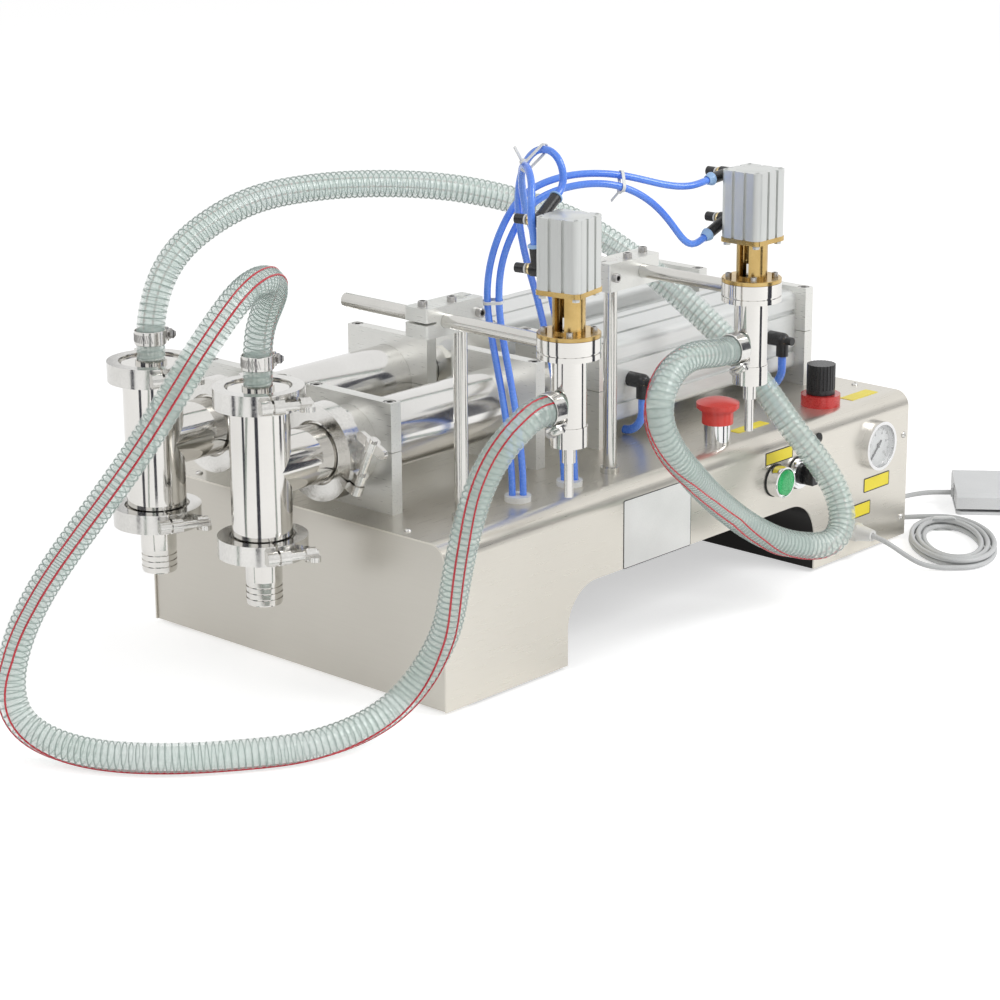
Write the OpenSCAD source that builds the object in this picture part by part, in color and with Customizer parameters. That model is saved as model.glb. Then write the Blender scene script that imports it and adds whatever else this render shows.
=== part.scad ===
// Double nozzle liquid filling machine on a sheet steel cabinet.
// X runs from the inlet valves (low) to the control end (high), -Y faces the operator, Z is up.
// Places are measured from the middle of the cabinet and from the table top, then moved
// so that the origin is under the middle of the whole machine.

/* [Cabinet] */
// Length of the cabinet along X
cabinet_l = 660.2; // [620:0.2:700]
// Depth of the cabinet along Y
cabinet_w = 363.6; // [350:0.2:400]
// Height of the sheet metal
cabinet_h = 145; // [130:1:170]
// Sheet thickness
sheet_t = 1.5; // [1:0.1:2.5]
// Radius of the long top bends
bend_r = 15; // [8:1:25]
// Width of the arch under the cabinet
arch_l = 356.6; // [300:0.2:380]
// Height of the arch
arch_h = 70; // [50:1:85]
// Corner radius of the arch
arch_r = 38; // [20:1:45]
// Height of the rubber feet below the sheet
foot_h = 3; // [2:0.5:12]
// Diameter of the rubber feet
foot_d = 32; // [20:1:40]

/* [Cylinders] */
// Height of the cylinder axes above the deck
axis_h = 54; // [46:1:64]
// Place of the front cylinder axis along Y
front_axis_y = -38.5; // [-50:0.5:-30]
// Distance between the front and back cylinder axes
row_gap = 132.4; // [110:0.2:134]
// Thickness of the bracket plates
bracket_t = 12; // [8:1:16]
// Width of the bracket plates
bracket_w = 102; // [92:1:108]
// Height of the bracket plates
bracket_h = 97.5; // [92:0.5:104]
// Outer diameter of the product cylinder tube
product_tube_d = 62; // [54:1:66]
// Wall of the product cylinder tube
product_wall = 2; // [1.5:0.1:3]
// Diameter of the product cylinder's head
head_cap_d = 70; // [67:1:80]
// Side of the square air cylinder profile
air_side = 78; // [72:1:82]
// Bore of the air cylinder
air_bore = 63; // [50:1:64]
// Diameter of the piston rod
rod_d = 20; // [14:1:24]
// Travel of the pistons
stroke = 150; // [50:5:150]

/* [Valves] */
// Distance from the cabinet's middle to the valve axes
valve_x = 398; // [390:1:410]
// Outer diameter of the valve tube and its branch
valve_tube_d = 51; // [44:1:54]
// Wall of the valve tube
valve_wall = 1.6; // [1.2:0.1:2.5]
// Height of the valve's lower joint above the table
valve_low_z = 137; // [125:1:145]
// Height of the valve's upper joint above the table
valve_top_z = 264.5; // [260:0.5:275]
// Flange diameter of the vertical joints
ferrule_d = 64; // [62:0.5:68]
// Outer diameter of the clamps on the vertical joints
clamp_d = 76; // [74:1:84]
// Flange diameter of the joint on the branch
branch_ferrule_d = 72; // [68:0.5:78]
// Outer diameter of the clamp on the branch
branch_clamp_d = 84; // [82:1:94]
// Width of the clamps
clamp_w = 17; // [15:1:20]
// Diameter of the check balls
ball_d = 26; // [23:1:28]
// Lift of the check balls
ball_lift = 6; // [3:0.5:6]
// Outer diameter of the supply barb
supply_d = 31; // [26:1:36]

/* [Hoses and tubes] */
// Outer diameter of the product hose
hose_d = 25; // [22:0.5:28]
// Bore of the product hose
hose_bore = 19; // [16:0.5:20]
// Depth of the rings in the hose's outside
rib_depth = 0.5; // [0.3:0.1:1]
// Outer diameter of the air tubes on the heads
air_tube_d = 6; // [5:0.5:8]
// Outer diameter of the air tubes on the large cylinders
main_tube_d = 8; // [6:0.5:8.4]
// Diameter of the grey cable
cable_d = 5; // [4:0.5:5.5]

/* [Arms and heads] */
// Diameter of the posts and rods
post_d = 12; // [10:0.5:14]
// Height of the rods above the table
rod_z = 327; // [320:1:345]
// Length of the clamp blocks along X
block_l = 68; // [62:1:76]
// Width and height of the clamp blocks
block_side = 25; // [20:1:30]
// Diameter of the nozzle's steel disc
disc_d = 51; // [48:1:56]
// Thickness of the nozzle's steel disc
disc_t = 16.5; // [15:0.5:20]
// Diameter of the nozzle tube
nozzle_tube_d = 28.5; // [27:0.5:30]
// Diameter of the nozzle's lower cap
cap_d = 30; // [29.5:0.5:34]
// Outer diameter of the filling needle
needle_d = 7.5; // [7:0.5:10]
// Diameter of the brass lantern tube
lantern_d = 26.5; // [25:0.5:30]
// Height of the windows in the lantern tube
window_h = 27; // [20:1:28]
// Side of the small air cylinder on a head
head_side = 40; // [39:1:46]
// Height of the small air cylinder on a head
head_cyl_h = 57; // [48:1:66]
// Travel of the shut-off plunger
plunger_lift = 8; // [4:1:10]

/* [Controls] */
// Diameter of the ring round the start button
ring_d = 29.4; // [27:0.2:32]
// Diameter of the stop button's cap
mushroom_d = 39.5; // [34:0.5:42]
// Diameter of the regulator knob
reg_knob_d = 27.5; // [24:0.5:30]
// Diameter of the pressure gauge's bezel
gauge_d = 48; // [42:1:52]
// Press of the buttons
press = 3; // [2:0.5:4]

/* [Foot switch] */
// Length of the foot switch
pedal_l = 105; // [90:1:120]
// Width of the foot switch
pedal_w = 78; // [70:1:84]
// Height of the foot switch at its low side
pedal_low_h = 20; // [18:0.5:24]
// Height of the foot switch at its hinge side
pedal_high_h = 26; // [24:0.5:32]
// Angle of the foot switch's long axis from X
pedal_yaw = -52; // [-60:1:-45]

/* [Hidden] */

$fn = 64;
// Clearance of a running fit, on the radius
run_gap = 0.05;
// Gap between pieces that seat on each other
seat_gap = 0.1;
// Gap between faces of different moving bodies
body_gap = 0.3;
// How far a cutting tool runs past what it cuts
over = 1;

// Frame: extremes of the machine without its cords
deck_z = foot_h + cabinet_h;
axis_z = deck_z + axis_h;
back_axis_y = front_axis_y + row_gap;
head_left = [-295.5, -286];
head_right = [-45.5, -273];
pedal_corner = [425, -180];
pedal_end_x = pedal_corner[0] + pedal_w * sin(-pedal_yaw) + pedal_l * cos(pedal_yaw);
x_low = -valve_x - clamp_d / 2;
x_mid = (x_low + pedal_end_x) / 2;
y_mid = (head_left[1] - disc_d / 2 + cabinet_w / 2) / 2;

module in_frame() {
    translate([-x_mid, -y_mid, 0]) children();
}

// Round bar along X between two places
module bar_x(d, x0, x1) {
    translate([x0, 0, 0]) rotate([0, 90, 0]) cylinder(d = d, h = x1 - x0);
}

// Round bar along Y between two places
module bar_y(d, y0, y1) {
    translate([0, y0, 0]) rotate([-90, 0, 0]) cylinder(d = d, h = y1 - y0);
}

// Rectangle with four round corners, about the origin
module round_rect(l, w, r) {
    square([l - 2 * r, w], center = true);
    square([l, w - 2 * r], center = true);
    for (x = [-1, 1], y = [-1, 1]) {
        translate([x * (l / 2 - r), y * (w / 2 - r)]) circle(r = r);
    }
}

// Outline that stands on its flat bottom and has two round top corners
module arch_shape(l, h, r) {
    translate([-l / 2, 0]) square([l, h - r]);
    translate([-l / 2 + r, 0]) square([l - 2 * r, h]);
    for (x = [-1, 1]) {
        translate([x * (l / 2 - r), h - r]) circle(r = r);
    }
}

// Hexagon nut along X
nut_ratio = 2 / sqrt(3);
module nut_x(across, x0, x1) {
    translate([x0, 0, 0]) rotate([0, 90, 0]) cylinder(d = across * nut_ratio, h = x1 - x0, $fn = 6);
}

// Cabinet
arch_x = 1.8;
end_inset = 1.5;
panel_gap = 0.2;
deck_hole_d = 20;
grommets = [[-193, -139], [-129, -142]];
foot_in = 24;

module cabinet_profile(extra) {
    arch_shape(cabinet_w - 2 * extra, cabinet_h - extra, bend_r - extra);
}

module arch_cut(extra, depth) {
    translate([arch_x, 0, foot_h]) rotate([90, 0, 0])
        translate([0, -over, -depth / 2]) linear_extrude(depth)
            arch_shape(arch_l + 2 * extra, arch_h + extra + over, arch_r + extra);
}

module cabinet_shell() {
    color("lightgrey") in_frame() difference() {
        translate([-cabinet_l / 2, 0, foot_h]) rotate([90, 0, 90]) linear_extrude(cabinet_l)
            difference() {
                cabinet_profile(0);
                translate([0, -over]) arch_shape(cabinet_w - 2 * sheet_t, cabinet_h - sheet_t + over, bend_r - sheet_t);
            }
        arch_cut(0, cabinet_w + 2 * over);
        for (p = grommets) {
            translate([p[0], p[1], deck_z - sheet_t - over]) cylinder(d = deck_hole_d, h = sheet_t + 2 * over);
        }
        translate([stop_x, stop_y, deck_z - sheet_t - over]) cylinder(d = stop_hole_d, h = sheet_t + 2 * over);
        translate([reg_x, reg_y, deck_z - sheet_t - over]) cylinder(d = reg_hole_d, h = sheet_t + 2 * over);
        for (x = [start_x, selector_x]) {
            translate([x, 0, button_z]) bar_y(button_hole_d, -cabinet_w / 2 - over, -cabinet_w / 2 + sheet_t + over);
        }
        translate([gauge_x, 0, button_z]) bar_y(gauge_hole_d, -cabinet_w / 2 - over, -cabinet_w / 2 + sheet_t + over);
        translate([gland_x, 0, gland_z]) bar_y(gland_thread_d, -cabinet_w / 2 - over, -cabinet_w / 2 + sheet_t + over);
    }
}

inner_l = cabinet_l - 2 * end_inset;
module cabinet_panels() {
    color("silver") in_frame() {
        for (s = [0, 1]) mirror([s, 0, 0])
            translate([inner_l / 2 - sheet_t, 0, foot_h]) rotate([90, 0, 90])
                difference() {
                    linear_extrude(sheet_t) cabinet_profile(sheet_t + panel_gap);
                    if (s == 0) translate([inlet_y, inlet_z - foot_h, -over]) cylinder(d = inlet_thread_d, h = sheet_t + 2 * over);
                }
        for (ends = [[-inner_l / 2 + sheet_t + panel_gap, arch_x - arch_l / 2], [arch_x + arch_l / 2, inner_l / 2 - sheet_t - panel_gap]]) {
            translate([ends[0], -cabinet_w / 2 + sheet_t + panel_gap, foot_h])
                cube([ends[1] - ends[0], cabinet_w - 2 * sheet_t - 2 * panel_gap, sheet_t]);
        }
        intersection() {
            difference() {
                arch_cut(sheet_t, cabinet_w - 2 * sheet_t - 2 * panel_gap);
                arch_cut(0, cabinet_w);
            }
            translate([-cabinet_l / 2, -cabinet_w / 2, foot_h]) cube([cabinet_l, cabinet_w, cabinet_h]);
        }
    }
}

foot_xs = [
    -cabinet_l / 2 + foot_in, arch_x - arch_l / 2 - foot_in,
    arch_x + arch_l / 2 + foot_in, cabinet_l / 2 - foot_in
];
module feet() {
    color("dimgray") in_frame() for (x = foot_xs, s = [-1, 1]) {
        translate([x, s * (cabinet_w / 2 - foot_in), 0]) cylinder(d = foot_d, h = foot_h);
    }
}

// Brackets: four split plates under each cylinder axis
bracket_xs = [-290, -108, -22, 288];
boss_d = 40;
bracket_bores = [head_cap_d, product_tube_d, boss_d, boss_d];
split_gap = 0.6;
bracket_screw_d = 6.5;
bracket_screw_head_d = 11;
bracket_screw_head_h = 7;
bracket_screw_in = 7;

module bracket(i, low, high) {
    difference() {
        translate([bracket_xs[i] - bracket_t / 2, -bracket_w / 2, low]) cube([bracket_t, bracket_w, high - low]);
        translate([0, 0, axis_z]) bar_x(bracket_bores[i] + 2 * seat_gap, bracket_xs[i] - bracket_t / 2 - over, bracket_xs[i] + bracket_t / 2 + over);
    }
}

module bracket_screw_cuts(i) {
    for (s = [-1, 1]) translate([bracket_xs[i], s * (bracket_w / 2 - bracket_screw_in), 0]) {
        translate([0, 0, axis_z]) cylinder(d = bracket_screw_d, h = bracket_h);
        translate([0, 0, deck_z + bracket_h - bracket_screw_head_h]) cylinder(d = bracket_screw_head_d, h = bracket_h);
    }
}

module brackets_lower() {
    color("gainsboro") in_frame() for (y = [front_axis_y, back_axis_y], i = [0:3]) translate([0, y, 0])
        bracket(i, deck_z, axis_z);
}

module brackets_upper() {
    color("gainsboro") in_frame() for (y = [front_axis_y, back_axis_y], i = [0:3]) translate([0, y, 0])
        difference() {
            bracket(i, axis_z + split_gap, deck_z + bracket_h);
            bracket_screw_cuts(i);
        }
}

// Joint flange with its cone, from its face upwards
ferrule_edge = 2.9;
ferrule_angle = 20;
function cone_h(flange_d, tube_d) = (flange_d - tube_d) / 2 * tan(ferrule_angle);
function ferrule_h(flange_d, tube_d) = ferrule_edge + cone_h(flange_d, tube_d);
module ferrule(flange_d, tube_d) {
    cylinder(d = flange_d, h = ferrule_edge);
    translate([0, 0, ferrule_edge]) cylinder(d1 = flange_d, d2 = tube_d, h = cone_h(flange_d, tube_d));
}

// Product cylinder: tube, head and the joint flange towards the valve
joint_x = -327;
head_low_x = -313;
head_high_x = bracket_xs[0] + bracket_t / 2;
head_wall = 8;
tube_end_x = bracket_xs[1] + bracket_t / 2;
port_d = valve_tube_d - 2 * valve_wall;
product_bore = product_tube_d - 2 * product_wall;

module product_cylinder(y) {
    color("silver") in_frame() translate([0, y, axis_z]) difference() {
        union() {
            bar_x(product_tube_d, head_low_x, tube_end_x);
            bar_x(head_cap_d, head_low_x, head_high_x);
            bar_x(valve_tube_d, joint_x, head_low_x + over);
            translate([joint_x, 0, 0]) rotate([0, 90, 0]) ferrule(branch_ferrule_d, valve_tube_d);
        }
        bar_x(port_d, joint_x - over, head_low_x + head_wall + over);
        bar_x(product_bore, head_low_x + head_wall, tube_end_x + over);
    }
}

// Air cylinder: grooved square profile with a round boss at each end
air_low_x = bracket_xs[2] + bracket_t / 2;
air_high_x = bracket_xs[3] - bracket_t / 2;
air_cover = 12;
air_corner_r = 8;
groove_w = 5;
groove_depth = 3.5;
groove_off = 19;
module air_profile() {
    difference() {
        round_rect(air_side, air_side, air_corner_r);
        for (a = [0:3], s = [-1, 1]) rotate(a * 90)
            translate([air_side / 2 - groove_depth, s * groove_off - groove_w / 2]) square([groove_depth + over, groove_w]);
    }
}

module air_cylinder(y) {
    color("whitesmoke") in_frame() translate([0, y, axis_z]) difference() {
        union() {
            translate([air_low_x, 0, 0]) rotate([90, 0, 90]) linear_extrude(air_high_x - air_low_x) air_profile();
            bar_x(boss_d, bracket_xs[2] - bracket_t / 2, air_low_x + over);
            bar_x(boss_d, air_high_x - over, bracket_xs[3] + bracket_t / 2);
        }
        bar_x(air_bore, air_low_x + air_cover, air_high_x - air_cover);
        bar_x(rod_d + 2 * run_gap, bracket_xs[2] - bracket_t / 2 - over, air_low_x + air_cover + over);
    }
}

// Piston rod with both pistons, two jam nuts and two buffer discs
piston_t = 25;
air_piston_t = 20;
end_room = 20;
piston_x = head_low_x + head_wall + end_room + stroke;
air_piston_x = air_high_x - air_cover - air_piston_t - head_wall;
seal_w = 4;
seal_depth = 1.5;
nut_w = 30;
nut_t = 11;
nut_xs = [-91, -52];
buffer_d = 40;
buffer_xs = [-79, -66];
buffer_t = 12;
module piston_rod(y) {
    color("steelblue") in_frame() translate([0, y, axis_z]) {
        difference() {
            bar_x(product_bore - 2 * run_gap, piston_x, piston_x + piston_t);
            for (share = piston_groove_shares) {
                translate([piston_x + share * piston_t - seal_w / 2, 0, 0]) rotate([0, 90, 0]) difference() {
                    cylinder(d = product_bore + over, h = seal_w);
                    translate([0, 0, -over]) cylinder(d = product_bore - 2 * seal_depth, h = seal_w + 2 * over);
                }
            }
        }
        bar_x(rod_d, piston_x + over, air_piston_x + over);
        bar_x(air_bore - 2 * run_gap, air_piston_x, air_piston_x + air_piston_t);
        for (x = nut_xs) nut_x(nut_w, x, x + nut_t);
        for (x = buffer_xs) bar_x(buffer_d, x, x + buffer_t);
    }
}
piston_groove_shares = [0.28, 0.72];

// Valve: upright tube with a branch, an inner seat ring and a stop bar over the lower ball
seat_d = 19;
seat_t = 5;
seat_low_z = axis_z + valve_tube_d / 2 + 1.5;
stop_bar_d = 4;
ball_sit = sqrt(pow(ball_d / 2, 2) - pow(seat_d / 2, 2)) + seat_gap;
inlet_ball_z = valve_low_z + ball_sit;
outlet_ball_z = seat_low_z + seat_t + ball_sit;
stop_bar_z = inlet_ball_z + ball_d / 2 + ball_lift + body_gap + stop_bar_d / 2;

module valve_body(y) {
    color("silver") in_frame() translate([-valve_x, y, 0]) {
        difference() {
            union() {
                translate([0, 0, valve_low_z]) cylinder(d = valve_tube_d, h = valve_top_z - valve_low_z);
                translate([0, 0, valve_low_z]) ferrule(ferrule_d, valve_tube_d);
                translate([0, 0, valve_top_z]) rotate([180, 0, 0]) ferrule(ferrule_d, valve_tube_d);
                translate([0, 0, axis_z]) bar_x(valve_tube_d, 0, valve_x + joint_x);
                translate([valve_x + joint_x, 0, axis_z]) rotate([0, -90, 0]) ferrule(branch_ferrule_d, valve_tube_d);
            }
            translate([0, 0, valve_low_z - over]) cylinder(d = port_d, h = seat_low_z - valve_low_z + over);
            translate([0, 0, seat_low_z - over]) cylinder(d = seat_d, h = seat_t + 2 * over);
            translate([0, 0, seat_low_z + seat_t]) cylinder(d = port_d, h = valve_top_z - seat_low_z);
            translate([0, 0, axis_z]) bar_x(port_d, 0, valve_x + joint_x + over);
        }
        translate([0, 0, stop_bar_z]) bar_y(stop_bar_d, -valve_tube_d / 2 + valve_wall / 2, valve_tube_d / 2 - valve_wall / 2);
    }
}

// Lid over the valve with the barb that carries the product hose
lid_t = 6.5;
lid_collar_d = 27;
lid_collar_h = 3;
barb_d = 16.6;
barb_h = 20;
barb_bore = 12;
barb_rings = 3;
barb_ring_h = 1.2;
module barb() {
    cylinder(d = barb_d - barb_ring_h, h = barb_h);
    for (i = [0:barb_rings - 1]) {
        translate([0, 0, (i + 1) * barb_h / (barb_rings + 1)]) cylinder(d1 = barb_d, d2 = barb_d - barb_ring_h, h = barb_h / (barb_rings + 1) - barb_ring_h);
    }
}

module valve_lids() {
    color("silver") in_frame() for (y = [front_axis_y, back_axis_y]) translate([-valve_x, y, valve_top_z])
        difference() {
            union() {
                ferrule(ferrule_d, valve_tube_d);
                cylinder(d = valve_tube_d, h = lid_t);
                translate([0, 0, lid_t]) cylinder(d = lid_collar_d, h = lid_collar_h);
                translate([0, 0, lid_t + lid_collar_h]) barb();
            }
            translate([0, 0, -over]) cylinder(d = barb_bore, h = lid_t + lid_collar_h + barb_h + 2 * over);
        }
}

// Barb under the valve for the supply hose
supply_h = 51;
supply_plain_h = 22;
supply_wall = 2.5;
supply_rings = 4;
supply_ring_depth = 1;
module supply_barbs() {
    color("silver") in_frame() for (y = [front_axis_y, back_axis_y]) translate([-valve_x, y, valve_low_z]) rotate([180, 0, 0])
        difference() {
            union() {
                ferrule(ferrule_d, valve_tube_d);
                cylinder(d = valve_tube_d, h = ferrule_h(ferrule_d, valve_tube_d) + ferrule_edge);
                cylinder(d = supply_d, h = supply_plain_h + ferrule_edge + ferrule_h(ferrule_d, valve_tube_d));
                cylinder(d = supply_d - 2 * supply_ring_depth, h = supply_h);
                for (i = [1:supply_rings]) {
                    translate([0, 0, supply_h - i * supply_ring_pitch]) cylinder(d1 = supply_d, d2 = supply_d - supply_ring_depth, h = supply_ring_pitch - supply_ring_depth);
                }
            }
            translate([0, 0, -over]) cylinder(d = seat_d, h = supply_h + 2 * over);
            translate([0, 0, seat_t]) cylinder(d = supply_d - 2 * supply_wall - 2 * supply_ring_depth, h = supply_h);
        }
}
supply_ring_pitch = (supply_h - supply_plain_h - ferrule_edge - ferrule_h(ferrule_d, valve_tube_d)) / supply_rings;

// Two-piece clamp round a pair of joint flanges: axis along Z, bolt on the +X side
clamp_gap = 0.2;
clamp_split = 2;
clamp_ri_off = 2.5;
lug_l = 14;
lug_t = 9;
lug_w = 12;
clamp_bolt_d = 7;
wing_hub_d = 12;
wing_hub_h = 9;
wing_l = 13;
wing_t = 4;
hinge_d = 11;
module clamp_ring(outer_d, flange_d, tube_d) {
    ri = tube_d / 2 + clamp_ri_off;
    groove = ferrule_edge + clamp_gap;
    slope = (flange_d / 2 - ri) * tan(ferrule_angle) + groove;
    rotate_extrude() polygon([
        [ri, slope], [ri, clamp_w / 2], [outer_d / 2, clamp_w / 2],
        [outer_d / 2, -clamp_w / 2], [ri, -clamp_w / 2], [ri, -slope],
        [flange_d / 2 + clamp_gap, -groove], [flange_d / 2 + clamp_gap, groove]
    ]);
}

module tri_clamp(outer_d, flange_d, tube_d, bolt_l) {
    lug_x = outer_d / 2 - lug_t / 3;
    bolt_x = outer_d / 2 + lug_l - lug_t;
    difference() {
        union() {
            clamp_ring(outer_d, flange_d, tube_d);
            for (s = [-1, 1]) translate([lug_x, s * (clamp_split / 2 + lug_t / 2), 0])
                rotate([90, 0, 0]) translate([0, 0, -lug_t / 2]) linear_extrude(lug_t) {
                    translate([0, -lug_w / 2]) square([lug_l - lug_w / 2, lug_w]);
                    translate([lug_l - lug_w / 2, 0]) circle(d = lug_w);
                }
        }
        translate([0, -clamp_split / 2, -clamp_w]) cube([outer_d, clamp_split, 2 * clamp_w]);
        translate([-outer_d, -clamp_split / 2, -clamp_w]) cube([outer_d, clamp_split, 2 * clamp_w]);
    }
    translate([bolt_x, 0, 0]) bar_y(clamp_bolt_d, -clamp_split / 2 - lug_t, bolt_l);
    translate([bolt_x, bolt_l - wing_hub_h - clamp_split, 0]) {
        bar_y(wing_hub_d, 0, wing_hub_h);
        for (s = [-1, 1]) translate([0, wing_hub_h / 2, 0]) rotate([0, s * 90, 0])
            translate([-wing_t / 2, 0, 0]) {
                translate([0, -wing_hub_h / 2, 0]) cube([wing_t, wing_hub_h, wing_l]);
                translate([0, 0, wing_l]) rotate([0, 90, 0]) cylinder(d = wing_hub_h, h = wing_t);
            }
    }
    translate([-outer_d / 2 - hinge_d / 4, 0, -clamp_w / 2]) cylinder(d = hinge_d, h = clamp_w);
}

top_clamp_yaw = -118;
low_clamp_yaw = -116;
branch_clamp_roll = 25;
small_bolt_l = 34;
large_bolt_l = 46;
module tri_clamps() {
    color("silver") in_frame() for (y = [front_axis_y, back_axis_y]) {
        translate([-valve_x, y, valve_top_z]) rotate(top_clamp_yaw) tri_clamp(clamp_d, ferrule_d, valve_tube_d, small_bolt_l);
        translate([-valve_x, y, valve_low_z]) rotate(low_clamp_yaw) tri_clamp(clamp_d, ferrule_d, valve_tube_d, small_bolt_l);
        translate([joint_x, y, axis_z]) rotate([branch_clamp_roll, 0, 0]) rotate([0, 90, 0]) rotate([0, 0, -90])
            mirror([0, 1, 0]) tri_clamp(branch_clamp_d, branch_ferrule_d, valve_tube_d, large_bolt_l);
    }
}

module check_ball(y, z) {
    color("ghostwhite") in_frame() translate([-valve_x, y, z]) sphere(d = ball_d);
}

// Posts on the deck that the arms slide on
post_y = -141.5;
post_left_x = -266;
post_right_x = -74.5;
post_top_z = rod_z + block_side / 2;
collar_d = post_d + 5;
collar_h = 5;
module posts() {
    color("silver") in_frame() for (x = [post_left_x, post_right_x]) translate([x, post_y, deck_z]) {
        cylinder(d = post_d, h = post_top_z - deck_z);
        cylinder(d = collar_d, h = collar_h);
    }
}

// Arm block: slides on the post and holds the rod
block_corner_r = 2;
rod_in = 23;
post_in = 16;
slot_t = 2;
module arm_block(head, post_x) {
    side = sign(post_x - head[0]);
    end_x = head[0] - side * rod_in;
    color("gainsboro") in_frame() translate([0, post_y, rod_z]) difference() {
        translate([end_x + side * block_l / 2, 0, -block_side / 2]) linear_extrude(block_side)
            round_rect(block_l, block_side, block_corner_r);
        translate([post_x, 0, -block_side]) cylinder(d = post_d + 2 * run_gap, h = 2 * block_side);
        translate([head[0], 0, 0]) bar_y(post_d + 2 * seat_gap, -block_side, block_side);
        translate([end_x - side * (block_l - rod_in) / 2, 0, 0]) cube([block_l, 2 * block_side, slot_t], center = true);
        translate([end_x + side * block_l, 0, 0]) cube([2 * post_in, slot_t, 2 * block_side], center = true);
    }
}

// Rod that carries the head, parallel to Y
rod_back_y = -38.5;
rod_stop = 14;
module arm_rod(head) {
    color("silver") in_frame() translate([head[0], 0, rod_z])
        bar_y(post_d, head[1] + rod_stop, rod_back_y);
}

// Nozzle body: steel disc with the tube and the side barb
disc_groove_w = 1.5;
disc_groove_depth = 1;
disc_groove_off = 4.3;
nozzle_bore = 22;
nozzle_low_z = 263;
nozzle_roof = 5;
spigot_d = 25;
spigot_h = 9;
barb_z = 280;
barb_off = 12;
plunger_d = 8;
module nozzle_body(head) {
    disc_low = rod_z - disc_t / 2;
    color("silver") in_frame() translate([head[0], head[1], 0]) difference() {
        union() {
            difference() {
                translate([0, 0, disc_low]) cylinder(d = disc_d, h = disc_t);
                translate([0, 0, disc_low + disc_groove_off]) difference() {
                    cylinder(d = disc_d + over, h = disc_groove_w);
                    translate([0, 0, -over]) cylinder(d = disc_d - 2 * disc_groove_depth, h = disc_groove_w + 2 * over);
                }
            }
            translate([0, 0, nozzle_low_z]) cylinder(d = nozzle_tube_d, h = disc_low - nozzle_low_z + over);
            translate([0, 0, nozzle_low_z - spigot_h]) cylinder(d = spigot_d, h = spigot_h + over);
            translate([-barb_off, 0, barb_z]) rotate([0, -90, 0]) barb();
        }
        translate([0, 0, nozzle_low_z - spigot_h - over]) cylinder(d = nozzle_bore, h = disc_low - nozzle_low_z + spigot_h + over - nozzle_roof);
        translate([0, 0, nozzle_low_z]) cylinder(d = plunger_d + 2 * run_gap, h = rod_z);
        translate([0, 0, barb_z]) bar_x(barb_bore - barb_ring_h, -barb_off - barb_h - over, 0);
        translate([0, 0, rod_z]) bar_y(post_d + 2 * seat_gap, rod_stop - seat_gap, disc_d);
    }
}

// Nozzle tip: screwed cap with the filling needle
needle_bore = 5;
cap_h = 16.5;
cap_floor = 6;
needle_l = 42.5;
needle_step = 14;
needle_thick = 11;
tip_z = nozzle_low_z - cap_h - needle_l;
module nozzle_tip(head) {
    color("silver") in_frame() translate([head[0], head[1], 0]) difference() {
        union() {
            translate([0, 0, nozzle_low_z - cap_h]) cylinder(d = cap_d, h = cap_h);
            translate([0, 0, nozzle_low_z - cap_h - needle_step]) cylinder(d = needle_thick, h = needle_step + over);
            translate([0, 0, tip_z]) cylinder(d = needle_d, h = needle_l + over);
        }
        translate([0, 0, nozzle_low_z - cap_h + cap_floor]) cylinder(d = spigot_d + 2 * seat_gap, h = cap_h);
        translate([0, 0, tip_z - over]) cylinder(d = needle_bore, h = needle_l + cap_h);
    }
}

// Brass lantern between the disc and the small air cylinder
flange_d = 51;
flange_t = 3.5;
lantern_h = 31;
lantern_bore = 19;
window_w = 9;
plate_t = 4;
plate_corner_r = 4;
head_corner_r = 6;
disc_top_z = rod_z + disc_t / 2;
cyl_low_z = disc_top_z + flange_t + lantern_h + plate_t;
window_yaw = -47;
module lantern(head, yaw) {
    color("goldenrod") in_frame() translate([head[0], head[1], disc_top_z]) difference() {
        union() {
            cylinder(d = flange_d, h = flange_t);
            cylinder(d = lantern_d, h = flange_t + lantern_h + plate_t / 2);
            translate([0, 0, flange_t + lantern_h]) rotate(yaw) linear_extrude(plate_t)
                round_rect(head_side, head_side, plate_corner_r);
        }
        translate([0, 0, flange_t]) cylinder(d = lantern_bore, h = lantern_h);
        translate([0, 0, -over]) cylinder(d = plunger_d + 2 * run_gap, h = lantern_h + flange_t + plate_t + 2 * over);
        rotate(window_yaw) translate([-lantern_d, -window_w / 2, flange_t + (lantern_h - window_h) / 2]) cube([2 * lantern_d, window_w, window_h]);
    }
}

// Small square air cylinder on top of a head
head_bore = 32;
head_cover = 6;
head_groove_w = 3;
head_groove_depth = 2;
head_groove_off = 6;
head_yaw_left = 10.7;
head_yaw_right = 1;
head_ports = [11, 50];
port_thread_d = 8;
module head_cylinder(head, yaw) {
    color("lightsteelblue") in_frame() translate([head[0], head[1], cyl_low_z]) rotate(yaw) difference() {
        linear_extrude(head_cyl_h) difference() {
            round_rect(head_side, head_side, head_corner_r);
            for (a = [0:3], s = [-1, 1]) rotate(a * 90)
                translate([head_side / 2 - head_groove_depth, s * head_groove_off - head_groove_w / 2]) square([head_groove_depth + over, head_groove_w]);
        }
        translate([0, 0, head_cover]) cylinder(d = head_bore, h = head_cyl_h - 2 * head_cover);
        translate([0, 0, -over]) cylinder(d = plunger_d + 2 * run_gap, h = head_cover + 2 * over);
        for (z = head_ports) translate([0, 0, z]) bar_y(port_thread_d + 2 * seat_gap, head_bore / 2 - over, head_side);
    }
}

// Push-in fitting on a small cylinder: thread along Y, banjo body and a port towards the tube
fit_body_d = 11;
fit_body_l = 14;
fit_reach = 8;
fit_port_d = 9.6;
fit_neck_d = 6;
fit_knob_d = 8;
fit_knob_l = 20;
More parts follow.
